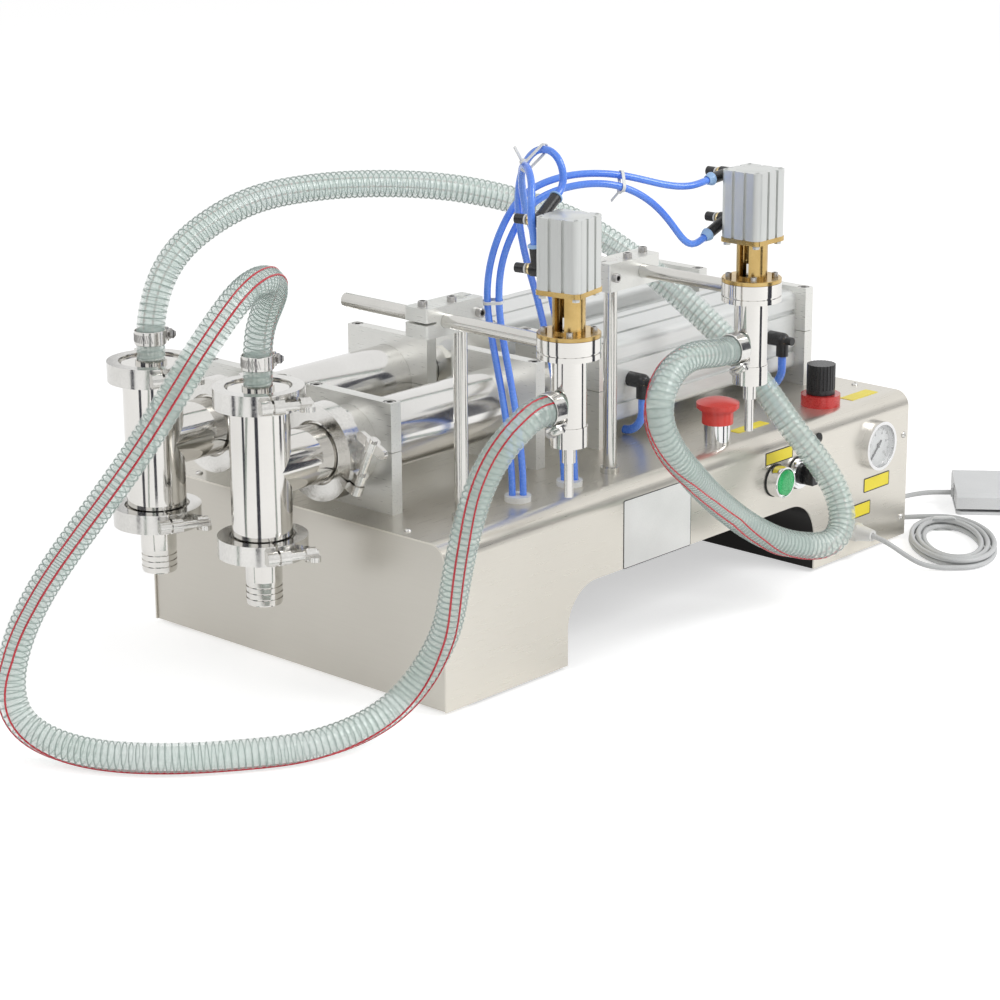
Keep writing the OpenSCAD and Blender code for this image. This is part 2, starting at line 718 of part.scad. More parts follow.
// Port directions and lengths, lower fitting first: from the banjo to the tube's mouth
left_ports = [[-4.1, 0, 16.4], [28.7, 0, 14.6]];
left_port_ls = [20, 30];
right_ports = [[-26.6, 0, -9.8], [-20.9, 0, -1.5]];
right_port_ls = [26, 21];
function unit(v) = v / norm(v);
module along(v) {
    u = unit(v);
    rotate([0, acos(u[2]), atan2(u[1], u[0])]) children();
}

module head_fittings(head, yaw, ports, lengths) {
    face = head_side / 2;
    end = face + fit_reach + fit_knob_l;
    color("dimgray") in_frame() translate([head[0], head[1], cyl_low_z]) rotate(yaw)
        for (i = [0, 1]) translate([0, 0, head_ports[i]]) {
            bar_y(port_thread_d, head_bore / 2 + seat_gap, face + fit_reach);
            bar_y(fit_body_d, face + seat_gap, face + fit_body_l);
            bar_y(fit_neck_d, face + fit_reach, end);
            bar_y(fit_knob_d, end - fit_knob_l / 2, end);
            translate([0, face + fit_reach, 0]) along(ports[i]) difference() {
                cylinder(d = fit_port_d, h = lengths[i]);
                translate([0, 0, lengths[i] - tube_grip]) cylinder(d = air_tube_d + 2 * body_gap, h = tube_grip + over);
            }
        }
}
tube_grip = 8;

// Shut-off plunger: stem with its cone, the nut seen in the windows and the air piston
plunger_low_z = nozzle_low_z - cap_h + cap_floor + body_gap;
plug_d = 12;
plug_h = 10;
plunger_nut_w = 13;
plunger_nut_h = 12;
spring_room = 20;
head_piston_h = head_cyl_h - 2 * head_cover - plunger_lift - spring_room;
head_piston_z = cyl_low_z + head_cover + body_gap;
module plunger(head) {
    color("darkgray") in_frame() translate([head[0], head[1], 0]) {
        translate([0, 0, plunger_low_z]) cylinder(d1 = plunger_d, d2 = plug_d, h = plug_h);
        translate([0, 0, plunger_low_z]) cylinder(d = plunger_d, h = head_piston_z - plunger_low_z + head_piston_h);
        translate([0, 0, disc_top_z + flange_t + body_gap]) cylinder(d = plunger_nut_w * nut_ratio, h = plunger_nut_h, $fn = 6);
        translate([0, 0, head_piston_z]) cylinder(d = head_bore - 2 * run_gap, h = head_piston_h);
    }
}

// Controls on the front panel and the deck
button_z = 105.8;
start_x = 115.6;
selector_x = 150;
button_hole_d = 22;
ring_t = 5;
ring_bore = 20;
cap_reach = 14;
front_y = -cabinet_w / 2;
button_neck = 30;
module button_bezels() {
    color("silver") in_frame() for (x = [start_x, selector_x]) translate([x, front_y, button_z]) difference() {
        union() {
            bar_y(ring_d, -ring_t, 0);
            bar_y(ring_d - ring_t, -ring_t - sheet_t, 0);
            bar_y(button_hole_d - 2 * seat_gap, -sheet_t, button_neck);
        }
        bar_y(ring_bore, -ring_t - 2 * sheet_t, button_neck - ring_t);
    }
}

module start_button() {
    color("limegreen") in_frame() translate([start_x, front_y, button_z]) {
        bar_y(ring_bore - 2 * body_gap, -cap_reach, ring_t);
    }
}

lever_w = 8;
lever_reach = 21;
module selector_knob() {
    color("dimgray") in_frame() translate([selector_x, front_y, button_z]) {
        bar_y(ring_bore - 2 * body_gap, -cap_reach + ring_t, ring_t);
        translate([-lever_w / 2, -lever_reach, -ring_bore / 2 + body_gap + over]) cube([lever_w, lever_reach, ring_bore - 2 * body_gap - 2 * over]);
    }
}

stop_x = 66;
stop_y = -152;
stop_hole_d = 22;
stop_neck_d = 25;
stop_stem_d = 12;
skirt_d = 29;
skirt_h = 13;
skirt_lift = 18;
skirt_z = deck_z + skirt_lift;
// Room left over the neck when the button is pressed
neck_room = 2.5;
stop_neck_h = skirt_lift + skirt_h - sheet_t - press - neck_room;
mushroom_h = 11;
module stop_neck() {
    color("silver") in_frame() translate([stop_x, stop_y, 0]) difference() {
        union() {
            translate([0, 0, deck_z]) cylinder(d = stop_neck_d, h = stop_neck_h);
            translate([0, 0, deck_z - ring_t]) cylinder(d = stop_hole_d - 2 * seat_gap, h = ring_t + over);
        }
        translate([0, 0, deck_z - ring_t - over]) cylinder(d = stop_stem_d + 2 * run_gap, h = ring_t + stop_neck_h + 2 * over);
    }
}

module stop_button() {
    color("crimson") in_frame() translate([stop_x, stop_y, 0]) {
        difference() {
            translate([0, 0, skirt_z]) cylinder(d = skirt_d, h = skirt_h);
            translate([0, 0, skirt_z - over]) cylinder(d = stop_neck_d + 2 * body_gap, h = skirt_h + over - sheet_t);
        }
        translate([0, 0, deck_z]) cylinder(d = stop_stem_d, h = skirt_z + skirt_h - deck_z);
        translate([0, 0, skirt_z + skirt_h]) rotate_extrude() difference() {
            translate([0, mushroom_h - mushroom_dome_r]) intersection() {
                circle(r = mushroom_dome_r);
                translate([0, mushroom_dome_r - mushroom_h]) square([mushroom_d / 2, mushroom_h]);
            }
            translate([mushroom_d / 2 - mushroom_lip, -over]) square([mushroom_lip + over, mushroom_lip + over]);
        }
    }
}
mushroom_dome_r = 45;
mushroom_lip = 2;

reg_x = 235.2;
reg_y = -144.5;
reg_hole_d = 18;
reg_ring_d = 38;
reg_ring_h = 11;
reg_stem_d = 14;
reg_knob_h = 29;
knob_ribs = 24;
knob_rib_d = 1.6;
module regulator_ring() {
    color("red") in_frame() translate([reg_x, reg_y, 0]) difference() {
        union() {
            translate([0, 0, deck_z]) cylinder(d = reg_ring_d, h = reg_ring_h);
            translate([0, 0, deck_z - ring_t]) cylinder(d = reg_hole_d - 2 * seat_gap, h = ring_t + over);
        }
        translate([0, 0, deck_z - ring_t - over]) cylinder(d = reg_stem_d + 2 * run_gap, h = reg_ring_h + ring_t + 2 * over);
    }
}

module regulator_knob() {
    color("dimgray") in_frame() translate([reg_x, reg_y, deck_z + reg_ring_h + body_gap]) {
        difference() {
            cylinder(d = reg_knob_d, h = reg_knob_h);
            for (i = [0:knob_ribs - 1]) rotate(i * 360 / knob_ribs)
                translate([reg_knob_d / 2, 0, ring_t]) cylinder(d = knob_rib_d, h = reg_knob_h);
        }
        translate([0, 0, -reg_ring_h - body_gap]) cylinder(d = reg_stem_d, h = reg_ring_h + ring_t);
    }
}

gauge_x = 276;
gauge_hole_d = 40;
gauge_reach = 8;
gauge_depth = 26;
gauge_lip = 3;
dial_in = 5;
needle_shaft_d = 2;
gauge_stem_l = 3;
module gauge_case() {
    color("silver") in_frame() translate([gauge_x, front_y, button_z]) {
        difference() {
            union() {
                bar_y(gauge_d, -gauge_reach, 0);
                bar_y(gauge_hole_d - 2 * seat_gap, -sheet_t, gauge_depth);
            }
            bar_y(gauge_d - 2 * gauge_lip, -gauge_reach - over, -gauge_reach + dial_in);
        }
        bar_y(needle_shaft_d, -gauge_reach + dial_in - gauge_stem_l, 0);
    }
}

pointer_l = 17;
pointer_tail = 6;
pointer_w = 1.6;
pointer_t = 1;
pointer_hub_d = 5;
pointer_yaw = 45;
module gauge_needle() {
    color("black") in_frame() translate([gauge_x, front_y - gauge_reach + dial_in - body_gap, button_z]) difference() {
        rotate([0, pointer_yaw, 0]) {
            bar_y(pointer_hub_d, -pointer_t, 0);
            translate([-pointer_w / 2, -pointer_t, -pointer_l]) cube([pointer_w, pointer_t, pointer_l + pointer_tail]);
        }
        bar_y(needle_shaft_d + 2 * run_gap, -pointer_t - over, over);
    }
}

// White plastic: the cable gland on the front and the two grommets for the air tubes
gland_x = 243.5;
gland_z = 26;
gland_thread_d = 12;
gland_hex = 16.5;
gland_hex_t = 7;
gland_reach = 23;
gland_nose_d = 11;
grommet_d = 23;
grommet_h = 5;
tube_step = [3.3, -3.3];
module glands() {
    color("white") in_frame() {
        translate([gland_x, front_y, gland_z]) difference() {
            union() {
                translate([0, -gland_hex_t, 0]) rotate([-90, 0, 0]) cylinder(d = gland_hex * nut_ratio, h = gland_hex_t, $fn = 6);
                translate([0, -gland_hex_t, 0]) rotate([90, 0, 0]) cylinder(d1 = gland_hex, d2 = gland_nose_d, h = gland_reach - gland_hex_t);
                bar_y(gland_thread_d - 2 * seat_gap, 0, gland_hex_t);
            }
            bar_y(cable_d + 2 * body_gap, -gland_reach - over, gland_hex_t + over);
        }
        for (p = grommets) translate([p[0], p[1], 0]) difference() {
            union() {
                translate([0, 0, deck_z]) cylinder(d = grommet_d, h = grommet_h);
                translate([0, 0, deck_z - grommet_h]) cylinder(d = deck_hole_d - 2 * seat_gap, h = grommet_h + over);
            }
            for (s = [-1, 1]) translate([s * tube_step[0], s * tube_step[1], deck_z - grommet_h - over])
                cylinder(d = air_tube_d + 2 * body_gap, h = 2 * grommet_h + 2 * over);
        }
    }
}

// Elbows on the large air cylinders and the inlet fitting on the control end
elbow_xs = [30, 242];
elbow_body_d = 14;
elbow_reach = 15;
elbow_drop = 16;
elbow_port_d = 12;
elbow_knob_l = 12;
inlet_y = 40;
inlet_z = 60;
inlet_thread_d = 13;
inlet_l = 24;
inlet_grip = 14;
module air_fittings() {
    color("dimgray") in_frame() {
        for (y = [front_axis_y, back_axis_y], x = elbow_xs) translate([x, y - air_side / 2, axis_z]) {
            bar_y(elbow_body_d, -elbow_reach, -seat_gap);
            translate([0, -elbow_reach, 0]) {
                sphere(d = elbow_body_d);
                difference() {
                    translate([0, 0, -elbow_drop]) cylinder(d = elbow_port_d, h = elbow_drop);
                    translate([0, 0, -elbow_drop - over]) cylinder(d = main_tube_d + 2 * body_gap, h = tube_grip + over);
                }
                bar_y(fit_knob_d, -elbow_knob_l, 0);
            }
        }
        translate([inner_l / 2, inlet_y, inlet_z]) difference() {
            union() {
                bar_x(inlet_thread_d + fit_knob_d, 0, inlet_l);
                bar_x(inlet_thread_d - 2 * seat_gap, -inlet_l, over);
            }
            bar_x(main_tube_d, inlet_l - inlet_grip, inlet_l + over);
        }
    }
}

// Cords: routes, one smooth curve through each, and the tubes swept along them
hose_front_route = [
    [-398, -38.5, 274.2], [-398, -38.5, 287], [-398, -38.5, 300], [-401, -46, 325], [-404, -60, 344], [-415, -80, 363],
    [-442, -101, 379], [-469, -112, 380], [-490, -117, 373], [-508, -117, 358], [-523, -113, 340],
    [-534, -107, 322], [-555, -84, 272], [-569, -66, 239], [-579, -50, 214], [-590, -32, 186],
    [-603, -12, 153], [-613, 5, 120], [-620, 16, 88], [-624, 19, 60], [-624, 13, 36],
    [-617, -5, 21], [-606, -36, 14], [-592, -68, 13], [-569, -100, 13], [-541, -126, 13],
    [-503, -153, 13], [-475, -168, 13], [-439, -180, 17], [-400, -186, 26], [-377, -197, 49],
    [-370, -210, 75], [-368, -222, 100], [-371, -232, 136], [-372, -241, 169], [-372, -250, 197],
    [-371, -259, 223], [-365, -270, 248], [-358, -279, 263], [-349, -285, 274], [-337, -286, 280],
    [-325, -286, 280], [-310.1, -286, 280]
];
hose_back_route = [
    [-398, 93.9, 274.2], [-398, 93.9, 287], [-398, 93.9, 300], [-390, 94, 331], [-368, 94, 361], [-329, 90, 382],
    [-285, 84, 396], [-237, 74, 399], [-178, 55, 398], [-107, 30, 389], [-53, 0, 374],
    [0, -30, 351], [33, -52, 326], [60, -80, 297], [76, -110, 269], [86, -142, 242],
    [94, -170, 212], [98, -192, 186], [105, -208, 163], [116, -220, 143], [126, -230, 124],
    [131, -239, 107], [131, -247, 91], [124, -254, 76.5], [112, -256, 65], [97, -255, 62.5],
    [79, -247, 64], [42, -243, 76], [-1, -243, 100], [-42, -247, 127], [-89, -259, 158.5],
    [-127, -274, 184.5], [-156, -281.5, 206], [-171.5, -283, 225], [-180, -283, 243], [-177, -281, 260],
    [-163, -278, 275], [-142, -275, 284], [-116, -273, 285], [-90, -273, 280], [-60.1, -273, 280]
];
tube_right_top_route = [
    [-196.3, -135.7, 138], [-196.3, -135.7, 154], [-197.5, -136, 176], [-202, -136.5, 210], [-214, -138, 258],
    [-229, -141, 305], [-238, -145, 335], [-240, -151, 367], [-233, -160, 399], [-223, -172, 424],
    [-202, -190, 436], [-177, -205, 438], [-150, -218, 434], [-124, -231, 425], [-108, -239.5, 420.5],
    [-92, -244.5, 419.3], [-78, -245.5, 421.2], [-59.5, -245.2, 422.8]
];
tube_right_low_route = [
    [-189.7, -142.3, 138], [-189.7, -142.3, 154], [-191, -143, 176], [-196, -143.5, 210], [-208, -145, 258],
    [-223, -148, 305], [-231, -152, 335], [-234, -158, 366], [-228, -168, 396], [-219, -181, 419],
    [-200, -199, 429], [-176, -214, 431], [-153, -225, 425], [-131, -234, 411], [-115, -241, 392],
    [-103, -244, 375], [-91, -245.5, 368.5], [-77, -245.5, 373], [-63.4, -245.3, 378.3]
];
tube_left_top_route = [
    [-132.3, -138.7, 138], [-132.3, -138.7, 154], [-134, -139, 176], [-139, -139.5, 210], [-152, -143, 256],
    [-169, -149, 295], [-191, -158, 335], [-222, -171.5, 376], [-247.5, -188, 423], [-255.5, -200, 451],
    [-260, -217.5, 469.5], [-262.5, -236, 473], [-263, -248, 466], [-262, -252, 452], [-265.7, -251.9, 441.9],
    [-274.4, -253.5, 437.4], [-281, -254.7, 434]
];
tube_left_low_route = [
    [-125.7, -145.3, 138], [-125.7, -145.3, 154], [-127.5, -146, 176], [-133, -146.5, 210], [-145, -150, 256],
    [-162, -157, 296], [-184, -168, 336], [-215, -184, 378.5], [-242, -193, 412], [-260, -204.5, 440],
    [-275.5, -218.5, 459.5], [-290, -238, 464], [-304, -256, 453], [-312.1, -260.8, 431.3], [-308.8, -260, 417.7],
    [-305.5, -259.4, 404.2], [-303.7, -259, 396.8]
];
// How far the small tubes drop from an elbow, their bend under the cylinder and its radius
short_drop = 12;
short_bend_r = 21.5;

// Cable: from the gland to the hank, the hank's loops, and on to the foot switch
cable_lead_route = [
    [243.5, -203, 26], [243.5, -212, 25], [245, -224, 21], [248, -237, 14], [251, -249, 8], [255, -260, 4.5],
    [264, -272, 3], [270.7, -278.7, 3], [277.4, -286, 3]
];
hank_centre = [332, -236];
hank_yaw = 42.5;
hank_a = 74;
hank_b = 43;
hank_z = 3;
hank_loops = 5.5;
hank_rings = 24;
hank_sides = 6;
cable_tail_route = [
    [386.6, -186, 8.6], [379.8, -178.6, 8.6], [370, -167, 8], [362, -152, 6], [360, -137, 4], [366, -122, 3],
    [379, -112, 3], [397, -111, 5], [416, -117, 8], [432, -129, 11], [441.5, -139, 12], [448.3, -146.5, 12],
    [457, -157.6, 12]
];
hose_sides = 8;
tube_sides = 8;
hose_ribs = 76;
bore_rings = 56;
tube_rings = 32;
cable_rings = 14;

// Uniform cubic curve near the route's points, from its first to its last point
function padded(p) = concat([2 * p[0] - p[1]], p, [2 * p[len(p) - 1] - p[len(p) - 2]]);
function curve_at(q, u) =
    let (i = min(floor(u), len(q) - 4), t = u - i)
    (q[i] * pow(1 - t, 3) + q[i + 1] * (3 * pow(t, 3) - 6 * t * t + 4)
        + q[i + 2] * (-3 * pow(t, 3) + 3 * t * t + 3 * t + 1) + q[i + 3] * pow(t, 3)) / 6;
curve_steps = 6;
function curve(p) = let (q = padded(p), n = (len(p) - 1) * curve_steps) [for (k = [0:n]) curve_at(q, k / curve_steps)];
function sums(p) = [for (i = 0, s = 0; i < len(p); i = i + 1, s = i < len(p) ? s + norm(p[i] - p[i - 1]) : s) [s, i]];
// Points at even spacing along a curve
function even(c, n) =
    let (table = sums(c), total = table[len(table) - 1][0])
    [for (k = [0:n]) let (u = lookup(total * k / n, table), i = min(floor(u), len(c) - 2)) c[i] + (c[i + 1] - c[i]) * (u - i)];
function tangents(p) = [for (i = [0:len(p) - 1]) unit(p[min(i + 1, len(p) - 1)] - p[max(i - 1, 0)])];
function square_to(n, t) = unit(n - (n * t) * t);
function any_normal(t) = square_to(abs(t[2]) < 0.9 ? [0, 0, 1] : [0, 1, 0], t);
function normals(ts) = [for (i = 0, n = any_normal(ts[0]); i < len(ts); i = i + 1, n = i < len(ts) ? square_to(n, ts[i]) : n) n];
// Ring points of a tube along p with one radius per point
function skin(p, radii, sides) =
    let (ts = tangents(p), ns = normals(ts))
    [for (i = [0:len(p) - 1], k = [0:sides - 1])
        let (a = 360 * k / sides) p[i] + radii[i] * (ns[i] * cos(a) + cross(ts[i], ns[i]) * sin(a))];
// Two triangles for each side between neighbouring rings
function wall_faces(rings, sides, first, inward) =
    [for (i = [0:rings - 2], k = [0:sides - 1], h = [0, 1])
        let (a = first + i * sides + k, b = first + i * sides + (k + 1) % sides, c = a + sides, d = b + sides,
            f = h == 0 ? [a, c, b] : [b, c, d])
        inward ? [f[0], f[2], f[1]] : f];

module solid_tube(p, d, sides) {
    rings = len(p);
    last = (rings - 1) * sides;
    polyhedron(
        points = skin(p, [for (q = p) d / 2], sides),
        faces = concat(wall_faces(rings, sides, 0, false), [[for (k = [0:sides - 1]) k]],
            [[for (k = [sides - 1:-1:0]) last + k]]));
}

// Hose with its bore; the outside dips between the rings
module ribbed_hose(route) {
    c = curve(route);
    outer_n = 2 * hose_ribs;
    outer = even(c, outer_n);
    inner = even(c, bore_rings);
    radii = [for (i = [0:outer_n]) hose_d / 2 - (i % 2 == 0 || i < 3 || i > outer_n - 3 ? 0 : rib_depth)];
    first = (outer_n + 1) * hose_sides;
    outer_last = outer_n * hose_sides;
    inner_last = first + bore_rings * hose_sides;
    polyhedron(
        points = concat(skin(outer, radii, hose_sides), skin(inner, [for (q = inner) hose_bore / 2], hose_sides)),
        faces = concat(
            wall_faces(outer_n + 1, hose_sides, 0, false),
            wall_faces(bore_rings + 1, hose_sides, first, true),
            [for (k = [0:hose_sides - 1], h = [0, 1]) let (n = (k + 1) % hose_sides)
                h == 0 ? [k, n, first + k] : [n, first + n, first + k]],
            [for (k = [0:hose_sides - 1], h = [0, 1]) let (n = (k + 1) % hose_sides)
                h == 0 ? [outer_last + n, outer_last + k, inner_last + k] : [inner_last + n, outer_last + n, inner_last + k]]));
}

module hose_front() {
    color("powderblue") in_frame() ribbed_hose(hose_front_route);
}

module hose_back() {
    color("powderblue") in_frame() ribbed_hose(hose_back_route);
}

module air_tube(route) {
    color("royalblue") in_frame() solid_tube(even(curve(route), tube_rings), air_tube_d, tube_sides);
}

module cylinder_tubes() {
    color("royalblue") in_frame() for (y = [front_axis_y, back_axis_y], x = elbow_xs)
        translate([x, y - air_side / 2 - elbow_reach, axis_z - elbow_drop]) {
            translate([0, 0, -short_drop]) cylinder(d = main_tube_d, h = short_drop + tube_grip - body_gap);
            translate([0, short_bend_r, -short_drop]) rotate([-90, 0, -90]) rotate_extrude(angle = 90)
                translate([short_bend_r, 0]) circle(d = main_tube_d);
        }
}

// Hank: loops that spiral in on the table and out again one layer higher
function hank_turn(t) = t < hank_loops / 2 ? t : hank_loops - t;
function hank_layer(t) =
    let (k = (t - hank_loops / 2) / 0.5 + 0.5)
    k < 0 ? 0 : k > 1 ? 1 : k;
hank_step = cable_d + 1.4;
hank_climb = cable_d + 0.6;
function hank_point(t) =
    let (a = 180 + 360 * t, k = hank_turn(t) * hank_step, x = (hank_a - k) * cos(a), y = (hank_b - k) * sin(a))
    [hank_centre[0] + x * cos(hank_yaw) - y * sin(hank_yaw), hank_centre[1] + x * sin(hank_yaw) + y * cos(hank_yaw),
        hank_z + hank_climb * hank_layer(t)];
hank_points = [for (i = [0:hank_loops * hank_rings]) hank_point(i / hank_rings)];
// Least gap between strands at least half a loop apart along the cable
hank_gap = min([for (i = [0:len(hank_points) - 1], j = [i + hank_rings / 2:len(hank_points) - 1]) norm(hank_points[i] - hank_points[j])]) - cable_d;
echo(hank_gap = hank_gap, hank_start = hank_points[0], hank_end = hank_points[len(hank_points) - 1]);

module cable_lead() {
    color("lightgray") in_frame() solid_tube(even(curve(cable_lead_route), cable_rings), cable_d, tube_sides);
}

module cable_hank() {
    color("lightgray") in_frame() solid_tube(hank_points, cable_d, hank_sides);
}

module cable_tail() {
    color("lightgray") in_frame() solid_tube(even(curve(cable_tail_route), cable_rings), cable_d, tube_sides);
}

// Foot switch: base plate with hinge rod and strain relief, and the pedal cover over it
pedal_base_t = 3;
pedal_gap = 3;
pedal_skirt_z = pedal_base_t + pedal_gap;
pedal_wall = 2;
pedal_r = 5;
hinge_rod_d = 4;
hinge_in = 9;
hinge_z = 10;
ear_t = 4;
ear_in = 8;
relief_d = 9;
relief_z = 12;
relief_out = 3;
relief_in = 16;
module pedal_place() {
    translate([pedal_corner[0], pedal_corner[1], 0]) rotate(pedal_yaw) children();
}

module foot_switch_base() {
    color("gray") in_frame() pedal_place() difference() {
        union() {
            translate([pedal_l / 2, pedal_w / 2, 0]) linear_extrude(pedal_base_t) round_rect(pedal_l, pedal_w, pedal_r);
            for (x = [ear_in, pedal_l - ear_in - ear_t]) translate([x, pedal_w - hinge_in - hinge_rod_d, pedal_base_t - seat_gap])
                cube([ear_t, 2 * hinge_rod_d, hinge_z - pedal_base_t + hinge_rod_d]);
            translate([0, pedal_w - hinge_in, hinge_z]) bar_x(hinge_rod_d, ear_in, pedal_l - ear_in);
            translate([0, pedal_w / 2, relief_z]) bar_x(relief_d, -relief_out, relief_in);
            translate([pedal_wall + relief_out, pedal_w / 2 - relief_d / 2, pedal_base_t - seat_gap]) cube([relief_in - pedal_wall - relief_out, relief_d, relief_z - pedal_base_t]);
        }
        translate([0, pedal_w / 2, relief_z]) bar_x(cable_d + 2 * body_gap, -relief_out - over, relief_in - pedal_wall);
    }
}

lug_out = 8;
lug_width = 10;
module pedal_solid(inset, top_drop) {
    translate([inset, 0, 0]) rotate([90, 0, 90]) linear_extrude(pedal_l - 2 * inset) polygon([
        [inset, pedal_skirt_z - (inset > 0 ? over : 0)], [pedal_w - inset, pedal_skirt_z - (inset > 0 ? over : 0)],
        [pedal_w - inset, pedal_high_h - pedal_r - top_drop], [pedal_w - inset - pedal_r, pedal_high_h - top_drop],
        [inset + pedal_r, pedal_low_h - top_drop + pedal_crease], [inset, pedal_low_h - pedal_crease - top_drop]
    ]);
}
pedal_crease = 2;
module pedal() {
    color("darkgray") in_frame() pedal_place() {
        difference() {
            pedal_solid(0, 0);
            pedal_solid(pedal_wall, pedal_wall);
            translate([-over, pedal_w / 2 - relief_d / 2 - over, 0]) cube([pedal_wall + 2 * over, relief_d + 2 * over, relief_z + relief_d / 2 + over + pedal_gap]);
        }
        for (x = [ear_in + ear_t + over, pedal_l - ear_in - ear_t - over - lug_width]) translate([x, pedal_w - hinge_in, 0]) difference() {
            translate([0, -lug_out / 2, hinge_z - lug_out / 2]) cube([lug_width, lug_out, pedal_high_h - pedal_wall / 2 - hinge_z + lug_out / 2]);
            translate([0, 0, hinge_z]) bar_x(hinge_rod_d + 2 * run_gap, -over, lug_width + over);
        }
    }
}

module product_cylinder_front() {
    product_cylinder(front_axis_y);
}

module product_cylinder_back() {
    product_cylinder(back_axis_y);
}

module air_cylinder_front() {
    air_cylinder(front_axis_y);
}

module air_cylinder_back() {
    air_cylinder(back_axis_y);
}

module valve_body_front() {
    valve_body(front_axis_y);
}

module valve_body_back() {
    valve_body(back_axis_y);
}

module piston_rod_front() {
    piston_rod(front_axis_y);
}

module piston_rod_back() {
    piston_rod(back_axis_y);
}

cabinet_shell();
cabinet_panels();
feet();
brackets_lower();
brackets_upper();
product_cylinder_front();
product_cylinder_back();
air_cylinder_front();
air_cylinder_back();
valve_body_front();
valve_body_back();
valve_lids();
supply_barbs();
tri_clamps();
posts();
button_bezels();
stop_neck();
gauge_case();
regulator_ring();
glands();
foot_switch_base();
air_fittings();
cylinder_tubes();
hose_front();
hose_back();
air_tube(tube_left_top_route);  // tube_left_top
air_tube(tube_left_low_route);  // tube_left_low
air_tube(tube_right_top_route);  // tube_right_top
air_tube(tube_right_low_route);  // tube_right_low
cable_lead();
cable_hank();
cable_tail();
arm_block(head_left, post_left_x);  // arm_block_left
arm_rod(head_left);  // arm_rod_left
nozzle_body(head_left);  // nozzle_body_left
nozzle_tip(head_left);  // nozzle_tip_left
lantern(head_left, head_yaw_left);  // lantern_left
head_cylinder(head_left, head_yaw_left);  // head_cylinder_left
head_fittings(head_left, head_yaw_left, left_ports, left_port_ls);  // head_fittings_left
plunger(head_left);  // plunger_left
arm_block(head_right, post_right_x);  // arm_block_right
arm_rod(head_right);  // arm_rod_right
nozzle_body(head_right);  // nozzle_body_right
nozzle_tip(head_right);  // nozzle_tip_right
lantern(head_right, head_yaw_right);  // lantern_right
head_cylinder(head_right, head_yaw_right);  // head_cylinder_right
head_fittings(head_right, head_yaw_right, right_ports, right_port_ls);  // head_fittings_right
plunger(head_right);  // plunger_right
piston_rod_front();
piston_rod_back();
check_ball(front_axis_y, inlet_ball_z);  // inlet_ball_front
check_ball(front_axis_y, outlet_ball_z);  // outlet_ball_front
check_ball(back_axis_y, inlet_ball_z);  // inlet_ball_back
check_ball(back_axis_y, outlet_ball_z);  // outlet_ball_back
start_button();
stop_button();
selector_knob();
regulator_knob();
gauge_needle();
pedal();
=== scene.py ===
# %% [markdown]
# # Double nozzle liquid filling machine
# Two piston fillers stand side by side on a steel cabinet. Each pushes liquid through a pair of check
# valves, and a clear hose takes it to a filling head that slides on a post. The solids of the machine
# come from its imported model. This lesson loads them, gives every surface its finish, adds the thin and
# small pieces that solids don't need, and sets up the light and the camera.
#
# Every piece is placed in metres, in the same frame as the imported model: x along the cabinet, y to the
# back, z up from the table.

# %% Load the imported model
import math

import bmesh
import bpy
import numpy as np
from mathutils import Matrix, Vector


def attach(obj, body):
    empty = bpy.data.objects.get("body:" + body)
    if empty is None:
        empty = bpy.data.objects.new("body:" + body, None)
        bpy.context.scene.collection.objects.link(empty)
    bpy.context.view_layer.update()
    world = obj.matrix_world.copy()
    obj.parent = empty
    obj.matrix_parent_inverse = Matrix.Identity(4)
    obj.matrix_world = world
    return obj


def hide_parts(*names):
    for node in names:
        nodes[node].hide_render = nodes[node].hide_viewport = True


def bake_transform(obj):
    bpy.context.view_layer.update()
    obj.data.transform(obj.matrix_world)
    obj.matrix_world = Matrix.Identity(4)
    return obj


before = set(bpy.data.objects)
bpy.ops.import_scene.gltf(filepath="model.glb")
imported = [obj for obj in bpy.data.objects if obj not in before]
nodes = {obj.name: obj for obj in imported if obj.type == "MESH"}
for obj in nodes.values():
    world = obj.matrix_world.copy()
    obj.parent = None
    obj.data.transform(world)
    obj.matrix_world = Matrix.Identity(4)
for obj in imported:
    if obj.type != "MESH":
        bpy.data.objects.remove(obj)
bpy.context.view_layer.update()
MM = 0.001

# %% [markdown]
# The cabinet has its own middle, and the row frame has another, because the foot switch and the hoses
# stand out on its sides. Drawings of the machine are easiest to read from the cabinet, so one helper
# turns a place measured from the cabinet's middle, in millimetres, into a place in the row frame. A
# second helper puts a new object into the scene.

# %% From the cabinet's millimetres to metres in the row frame
X_MID = 57.5545
Y_MID = -64.85
FOOT_H = 3.0
DECK_Z = FOOT_H + 145.0
FRONT_Y = -363.6 / 2
AXIS_Z = DECK_Z + 54.0
ROW_YS = (-38.5, 93.9)


def at(x, y, z):
    """A place on the machine, from the cabinet's middle and the table, in metres in the row frame."""
    return Vector(((x - X_MID) * MM, (y - Y_MID) * MM, z * MM))


def add_object(name, data):
    """Puts a mesh, a lamp or a camera into the scene."""
    made = bpy.data.objects.new(name, data)
    bpy.context.scene.collection.objects.link(made)
    return made


print("deck at", DECK_Z, "mm, cylinder axes at", AXIS_Z, "mm")

# %% [markdown]
# The photograph was taken from the left front and from a little above. Its viewing direction, place and
# focal length were solved from corners of the cabinet, the bracket plates and the posts. The camera's
# matrix is built from its three axes, because that keeps the small roll of the picture.

